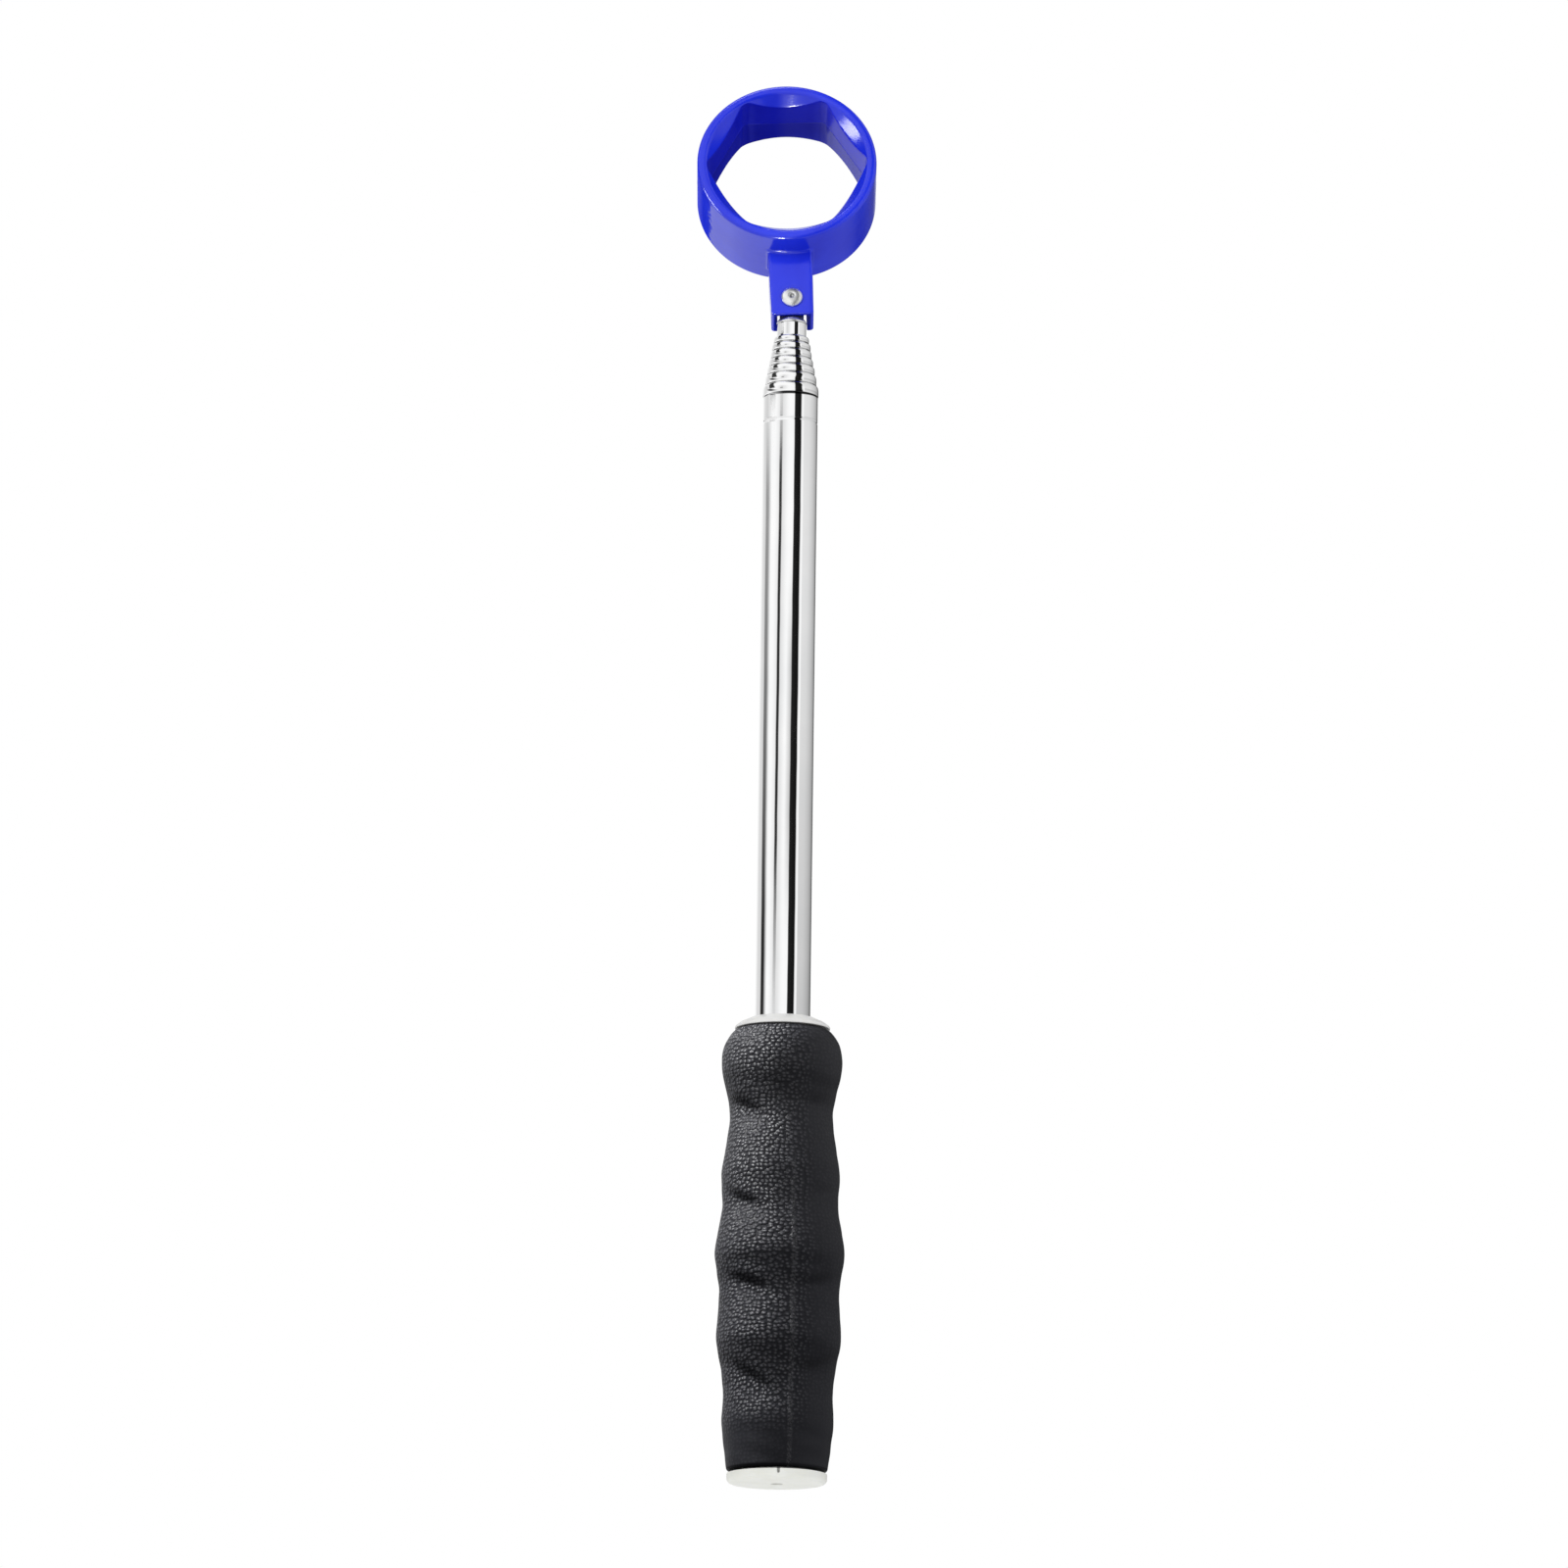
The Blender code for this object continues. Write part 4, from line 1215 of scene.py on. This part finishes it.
def grip_mesh():
    around, rows = 260, 300
    low, high = GRIP_STATIONS[0][0], GRIP_STATIONS[-1][0]
    # rows lie closer together towards the ends
    eased = low + (high - low) * (0.5 - 0.5 * np.cos(np.pi * np.linspace(0, 1, rows)))
    heights = 0.65 * np.linspace(low, high, rows) + 0.35 * eased
    radius = smooth_stations(heights)
    # ease the two ends
    ease = 0.9
    for end in (low, high):
        d = np.clip(np.abs(heights - end) / ease, 0, 1)
        radius = radius - 0.7 * (1 - np.sqrt(1 - (1 - d) ** 2))
    phi = np.linspace(-math.pi, math.pi, around, endpoint=False)
    Z, P = np.meshgrid(heights, phi, indexing="ij")
    R = grip_relief(np.repeat(radius[:, None], around, 1), Z, P)

    def circle(r, z):
        return [(r * math.sin(a), -r * math.cos(a), z) for a in phi]

    skin = np.stack([R * np.sin(P), -R * np.cos(P), Z], -1).reshape(-1, 3)
    verts = np.concatenate([
        skin,
        circle(GRIP_BORE, low + 0.25), circle(GRIP_BORE, high - 0.25),
        circle(GRIP_BORE + 0.3, low), circle(GRIP_BORE + 0.3, high),
    ])
    low_in, high_in, low_lip, high_lip = [(rows + i) * around for i in range(4)]
    top = (rows - 1) * around
    faces = []
    for i in range(rows - 1):
        faces += band(i * around, (i + 1) * around, around)
    for k in range(around):
        m = (k + 1) % around
        faces.append((k, low_lip + k, low_lip + m, m))
        faces.append((low_lip + k, low_in + k, low_in + m, low_lip + m))
        faces.append((low_in + k, high_in + k, high_in + m, low_in + m))
        faces.append((high_in + k, high_lip + k, high_lip + m, high_in + m))
        faces.append((high_lip + k, top + k, top + m, high_lip + m))
    return make_object("grip_fine", verts, faces, 50)


top_collar()
cap = end_cap()
grip = grip_mesh()
stand_for(grip, "grip", GRIP)

# CAD pieces kept as they are
for name, material in (("handle_core", LINER), ("base_plug", LINER), ("bumper_pad", PAD)):
    obj = frame["nodes"][name]
    if not obj.material_slots:
        obj.data.materials.append(material)
    for slot in obj.material_slots:
        slot.material = material


# =================================================================== world
# Brightness of the light tent by azimuth: degrees from the front, right positive.

TENT_LEVEL = [  # panels and gaps near the horizon
    (-180, 0.95), (-156, 0.85), (-146, 0.72), (-130, 0.70), (-118, 0.84), (-104, 0.96),
    (-92, 1.0), (-74, 1.0), (-64, 0.92), (-56, 0.84), (-42, 0.76), (-32, 0.84), (-20, 0.96),
    (-10, 1.0), (7, 0.98), (10.5, 0.015), (36.5, 0.006), (41.5, 0.95), (48, 0.96), (52, 0.79),
    (80, 0.75), (100, 0.64), (114, 0.55), (126, 0.44), (138, 0.30), (150, 0.12), (168, 0.10),
    (174, 0.9),
]
TENT_STEEP = [  # the same gaps away from the horizon, fully dark
    (-180, 0.95), (-150, 0.85), (-135, 0.8), (-110, 0.9), (-80, 1.0), (-40, 1.0), (-10, 1.0),
    (7, 0.9), (11, 0.01), (40, 0.005), (45, 0.9), (55, 0.76), (90, 0.72), (112, 0.62),
    (138, 0.45), (150, 0.03), (168, 0.03), (175, 0.8),
]
TENT_LOW = [  # below the horizon: bright behind the left, shaded behind the right
    (-180, 0.75), (-165, 1.25), (-130, 1.25), (-100, 0.9), (-60, 0.8), (8, 0.8), (12, 0.02),
    (38, 0.02), (44, 0.7), (110, 0.5), (135, 0.28), (170, 0.30), (180, 0.6),
]
TENT_OVERHEAD = [  # by x from -1 (0) to 1 (1): dark slot from above to the right
    (0.0, 0.95), (0.29, 0.95), (0.43, 0.3), (0.485, 0.01), (0.66, 0.01), (0.72, 0.78), (1.0, 0.7),
]
NEAR_BLACK = (0.01, 0.01, 0.01)


def by_azimuth(net, position, stops):
    """Ramp over position, 0 to 1 once round, with its stops in degrees from the front."""
    return net.ramp(position, [((degrees + 180.0) / 360.0, v) for degrees, v in stops])


def off_height(net, height, middle):
    return net.absolute(net.sub(height, middle))


def tent_gaps(net, position, height):
    """Darkness of the narrow gaps near the horizon."""
    # a thin gap on the left that only part of the tube's height mirrors
    thin = by_azimuth(net, position, [(-55.5, 0), (-52.5, 1), (-43.5, 1), (-40.5, 0)])
    thin = net.mul(thin, net.remap(height, over=(0.224, 0.231), to=(0.98, 0.1)))
    thin = net.mul(thin, net.remap(height, over=(0.172, 0.187), to=(0.1, 1.0)))
    # a wider one leans: further back the higher it is
    lean = net.mul(net.sub(height, 0.1738), 165.0 / 360.0)
    leaned = net.add(position, lean)
    edge = by_azimuth(net, leaned, [(-124, 0), (-115, 1), (-101, 1), (-93, 0.5), (-84, 0)])
    edge = net.mul(edge, net.remap(height, over=(0.180, 0.2245), to=(0.99, 0.6)))
    edge = net.mul(edge, net.remap(height, over=(0.222, 0.229), to=(1.0, 0.25)))
    # soft shade just before the front gap
    shade = by_azimuth(net, position, [(-14, 0), (0, 0.28), (9, 0.45), (12, 0)])
    off = off_height(net, height, 0.197)
    shade = net.mul(shade, net.remap(off, over=(0.008, 0.018), to=(1.0, 0.0)))
    edge = net.larger(edge, shade)
    # the panels on the right are dimmer lower down
    dimmer = by_azimuth(net, position, [(48, 0), (52, 1), (150, 1), (170, 0)])
    lower = net.remap(height, over=(0.172, 0.212), to=(0.24, 0.0))
    edge = net.larger(edge, net.mul(dimmer, lower))
    return net.larger(thin, edge)


def tent_upright(net, position, height):
    """Darkness of a tilted upright on the left and of a corner behind the left."""
    tilt = net.mul(net.sub(height, 0.235), 58.0 / 360.0)
    tilted = net.add(position, tilt)
    jog = net.remap(height, over=(0.235, 0.236), to=(-14.0 / 360.0, -12.0 / 360.0))
    tilted = net.add(tilted, jog)
    upright = by_azimuth(net, tilted, [(-124, 0), (-117, 1), (-93, 1), (-86, 0)])
    above = net.larger(
        net.remap(height, over=(0.244, 0.250)),
        net.remap(height, over=(0.2368, 0.2374), to=(1.0, 0.0)),
    )
    upright = net.mul(upright, above)
    upright = net.mul(upright, net.remap(height, over=(0.2314, 0.2318), to=(0.0, 0.97)))
    corner = by_azimuth(net, position, [(-174, 0), (-168, 1), (-128, 1), (-120, 0)])
    off = off_height(net, height, 0.655)
    corner = net.mul(corner, net.remap(off, over=(0.050, 0.075), to=(0.97, 0.0)))
    return net.larger(upright, corner)


def build_world():
    """A light tent: detailed for reflections, plain white for diffuse light and the camera."""
    world = bpy.data.worlds.new("studio")
    bpy.context.scene.world = world
    net = Net(world)
    way = net.node("TexCoord").outputs["Generated"]
    x, y, height = net.split(way)
    position = net.add(net.mul(net.azimuth(x, y), 1 / math.tau), 0.5)

    level = by_azimuth(net, position, TENT_LEVEL)
    gaps = tent_gaps(net, position, height)
    upright = tent_upright(net, position, height)
    level = net.mix(gaps, level, NEAR_BLACK)
    steep = by_azimuth(net, position, TENT_STEEP)
    off = off_height(net, height, 0.19)
    rim = net.mix(net.remap(off, over=(0.10, 0.26)), level, steep)
    rim = net.mix(upright, rim, NEAR_BLACK)
    slot = net.ramp(net.remap(x, over=(-1.0, 1.0)), TENT_OVERHEAD)
    over = net.remap(height, over=(0.76, 0.86))
    reflected = net.mix(over, rim, slot)
    low_side = by_azimuth(net, position, TENT_LOW)
    below = net.remap(height, over=(-0.12, -0.34))
    reflected = net.mix(below, reflected, low_side)
    # ragged dark shape on the horizon behind the left
    ragged = net.centred(net.noise(way, scale=14.0, detail=4.0, rough=0.7), amount=0.10)
    low_edge = net.remap(net.add(height, ragged), over=(0.005, 0.02))
    behind_left = by_azimuth(net, position, [(-179, 0), (-177, 1), (-156, 1), (-152, 0)])
    shape = net.mul(low_edge, net.remap(height, over=(0.135, 0.155), to=(1.0, 0.0)))
    shape = net.mul(shape, behind_left)
    reflected = net.mix(net.mul(shape, 0.9), reflected, (0.02, 0.02, 0.02))

    glossy = net.out("Background", {"Color": reflected, "Strength": 1.0})
    # for diffuse light the tent is a little brighter above than below
    soft = net.remap(height, over=(-1.0, 1.0), to=(0.82, 0.84))
    white = (1.0, 1.0, 1.0, 1.0)
    diffuse = net.out("Background", {"Color": white, "Strength": soft})
    plain = net.out("Background", {"Color": white, "Strength": 1.0})
    rays = net.node("LightPath").outputs
    lit = net.mix_shader(rays["Is Glossy Ray"], diffuse, glossy)
    net.surface(net.mix_shader(rays["Is Camera Ray"], lit, plain), "World")


def build_floor():
    """Pale round floor just under the cap, seen from above only."""
    radius, level, sides = 12.0, -0.0008, 96
    mesh = bpy.data.meshes.new("floor")
    verts = [(0.0, 0.0, level)]
    for k in range(sides):
        a = math.tau * k / sides
        verts.append((radius * math.cos(a), radius * math.sin(a), level))
    mesh.from_pydata(verts, [], [(0, 1 + k, 1 + (k + 1) % sides) for k in range(sides)])
    floor = bpy.data.objects.new("floor", mesh)
    bpy.context.scene.collection.objects.link(floor)
    mat, net = new_material("floor_paper")
    at = net.at()
    tint = net.ramp(net.noise(at, scale=3.0, detail=4.0, rough=0.6), [(0.3, 0.86), (0.7, 0.89)])
    paper = net.out("BsdfDiffuse", {"Color": tint})
    # the paper runs up into the white tent a little way out
    tent = net.out("Emission", {"Color": (1.0, 1.0, 1.0, 1.0), "Strength": 1.0})
    away = net.remap(net.length(at), over=(0.15, 0.85))
    paper = net.mix_shader(away, paper, tent)
    clear = net.out("BsdfTransparent")
    underside = net.node("NewGeometry").outputs["Backfacing"]
    net.surface(net.mix_shader(underside, paper, clear))
    mesh.materials.append(mat)
    floor.visible_diffuse = False
    floor.visible_glossy = False
    floor.visible_shadow = False


# ================================================================== lights


def area_light(name, location, target, size, energy,
               glossy=True, diffuse=True, size_y=None, only=None):
    """A panel aimed at target; if only is given, it lights that piece alone."""
    light = bpy.data.lights.new(name, "AREA")
    light.energy = energy
    light.color = (1, 1, 1)
    light.shape = "RECTANGLE" if size_y else "SQUARE"
    light.size = size
    if size_y:
        light.size_y = size_y
    obj = bpy.data.objects.new(name, light)
    bpy.context.scene.collection.objects.link(obj)
    obj.location = location
    away = Vector(target) - Vector(location)
    obj.rotation_mode = "QUATERNION"
    obj.rotation_quaternion = away.to_track_quat("-Z", "Y")
    obj.visible_glossy = glossy
    obj.visible_diffuse = diffuse
    obj.visible_camera = False
    if only:
        group = bpy.data.collections.new(name + "_only")
        group.objects.link(only)
        obj.light_linking.receiver_collection = group


def piece_light(name, piece, centre, azimuth, elevation, distance, **settings):
    """A light for one piece, placed by angles in degrees as seen from centre."""
    a, e = math.radians(azimuth), math.radians(elevation)
    away = Vector((math.sin(a) * math.cos(e), -math.cos(a) * math.cos(e), math.sin(e)))
    area_light(name, Vector(centre) + away * distance, centre, only=piece, **settings)


def ring_light(name, azimuth, elevation, distance, **settings):
    """A panel whose reflection shows in the ring."""
    piece_light(name, ring, RING_CENTRE, azimuth, elevation, distance, diffuse=False, **settings)


def build_lights():
    area_light("key", (-1.1, -1.5, 1.5), (0, 0, 0.25), size=0.8, energy=14.0, glossy=False)
    area_light("fill", (1.4, -1.2, 0.6), (0, 0, 0.2), size=1.0, energy=4.0, glossy=False)
    # strong side panel for the grip's grain
    grip_middle = (0, 0, 0.07)
    piece_light("grip_key", grip, grip_middle, azimuth=-80, elevation=50, distance=1.2,
                size=0.36, energy=52.0)
    piece_light("grip_fill", grip, grip_middle, azimuth=84, elevation=8, distance=1.2,
                size=0.5, energy=9.0, glossy=False)
    piece_light("cap_low", cap, (0, 0, 0), azimuth=-20, elevation=-76, distance=1.2,
                size=0.5, energy=4.2, glossy=False)
    ring_light("ring_left", azimuth=-84, elevation=-5, distance=1.2,
               size=0.42, size_y=0.50, energy=10.0)
    ring_light("ring_low", azimuth=-7, elevation=-56, distance=1.1,
               size=0.03, size_y=0.24, energy=0.2)
    ring_light("ring_spot", azimuth=-10, elevation=-63, distance=1.1,
               size=0.09, size_y=0.05, energy=8.0)
    ring_light("ring_top", azimuth=-24, elevation=74, distance=1.2, size=0.45, energy=3.0)


# ================================================================== camera

ELEVATION, ROLL = math.radians(-11.17), math.radians(0.74)
DISTANCE = 3.0
TARGET = Vector((-0.0005, 0.0, 0.2083))


def build_camera():
    """Camera below the pole's mid-height, looking slightly up at it."""
    back = Vector((0.0, -math.cos(ELEVATION), math.sin(ELEVATION)))
    data = bpy.data.cameras.new("camera")
    data.sensor_width = 36.0
    data.lens = 232.85
    data.clip_start, data.clip_end = 0.05, 200.0
    camera = bpy.data.objects.new("camera", data)
    scene.collection.objects.link(camera)
    camera.rotation_mode = "QUATERNION"
    camera.location = TARGET + back * DISTANCE
    roll = Matrix.Rotation(ROLL, 4, "Z").to_quaternion()
    camera.rotation_quaternion = (-back).to_track_quat("-Z", "Y") @ roll
    scene.camera = camera

    # the camera stands back as the pole is pulled out, so that the whole pole stays in view
    stand = bpy.data.objects.new("camera_stand", None)
    scene.collection.objects.link(stand)
    camera.parent = stand
    follow = stand.constraints.new("TRANSFORM")
    follow.target = frame["bodies"]["tip_sleeve"]
    follow.use_motion_extrapolate = True
    follow.map_from = follow.map_to = "LOCATION"
    follow.from_min_z, follow.from_max_z = 0.0, 1.0
    step_back = back * (DISTANCE / CAD_BOX[1].z * 1.02) + Vector((0.0, 0.0, 0.5))
    follow.map_to_x_from = follow.map_to_y_from = follow.map_to_z_from = "Z"
    follow.to_max_x, follow.to_max_y, follow.to_max_z = step_back
    follow.to_min_x = follow.to_min_y = follow.to_min_z = 0.0
    follow.mix_mode = "ADD"


scene = bpy.context.scene
build_world()
build_floor()
build_lights()
scene.view_settings.view_transform = "Standard"
build_camera()
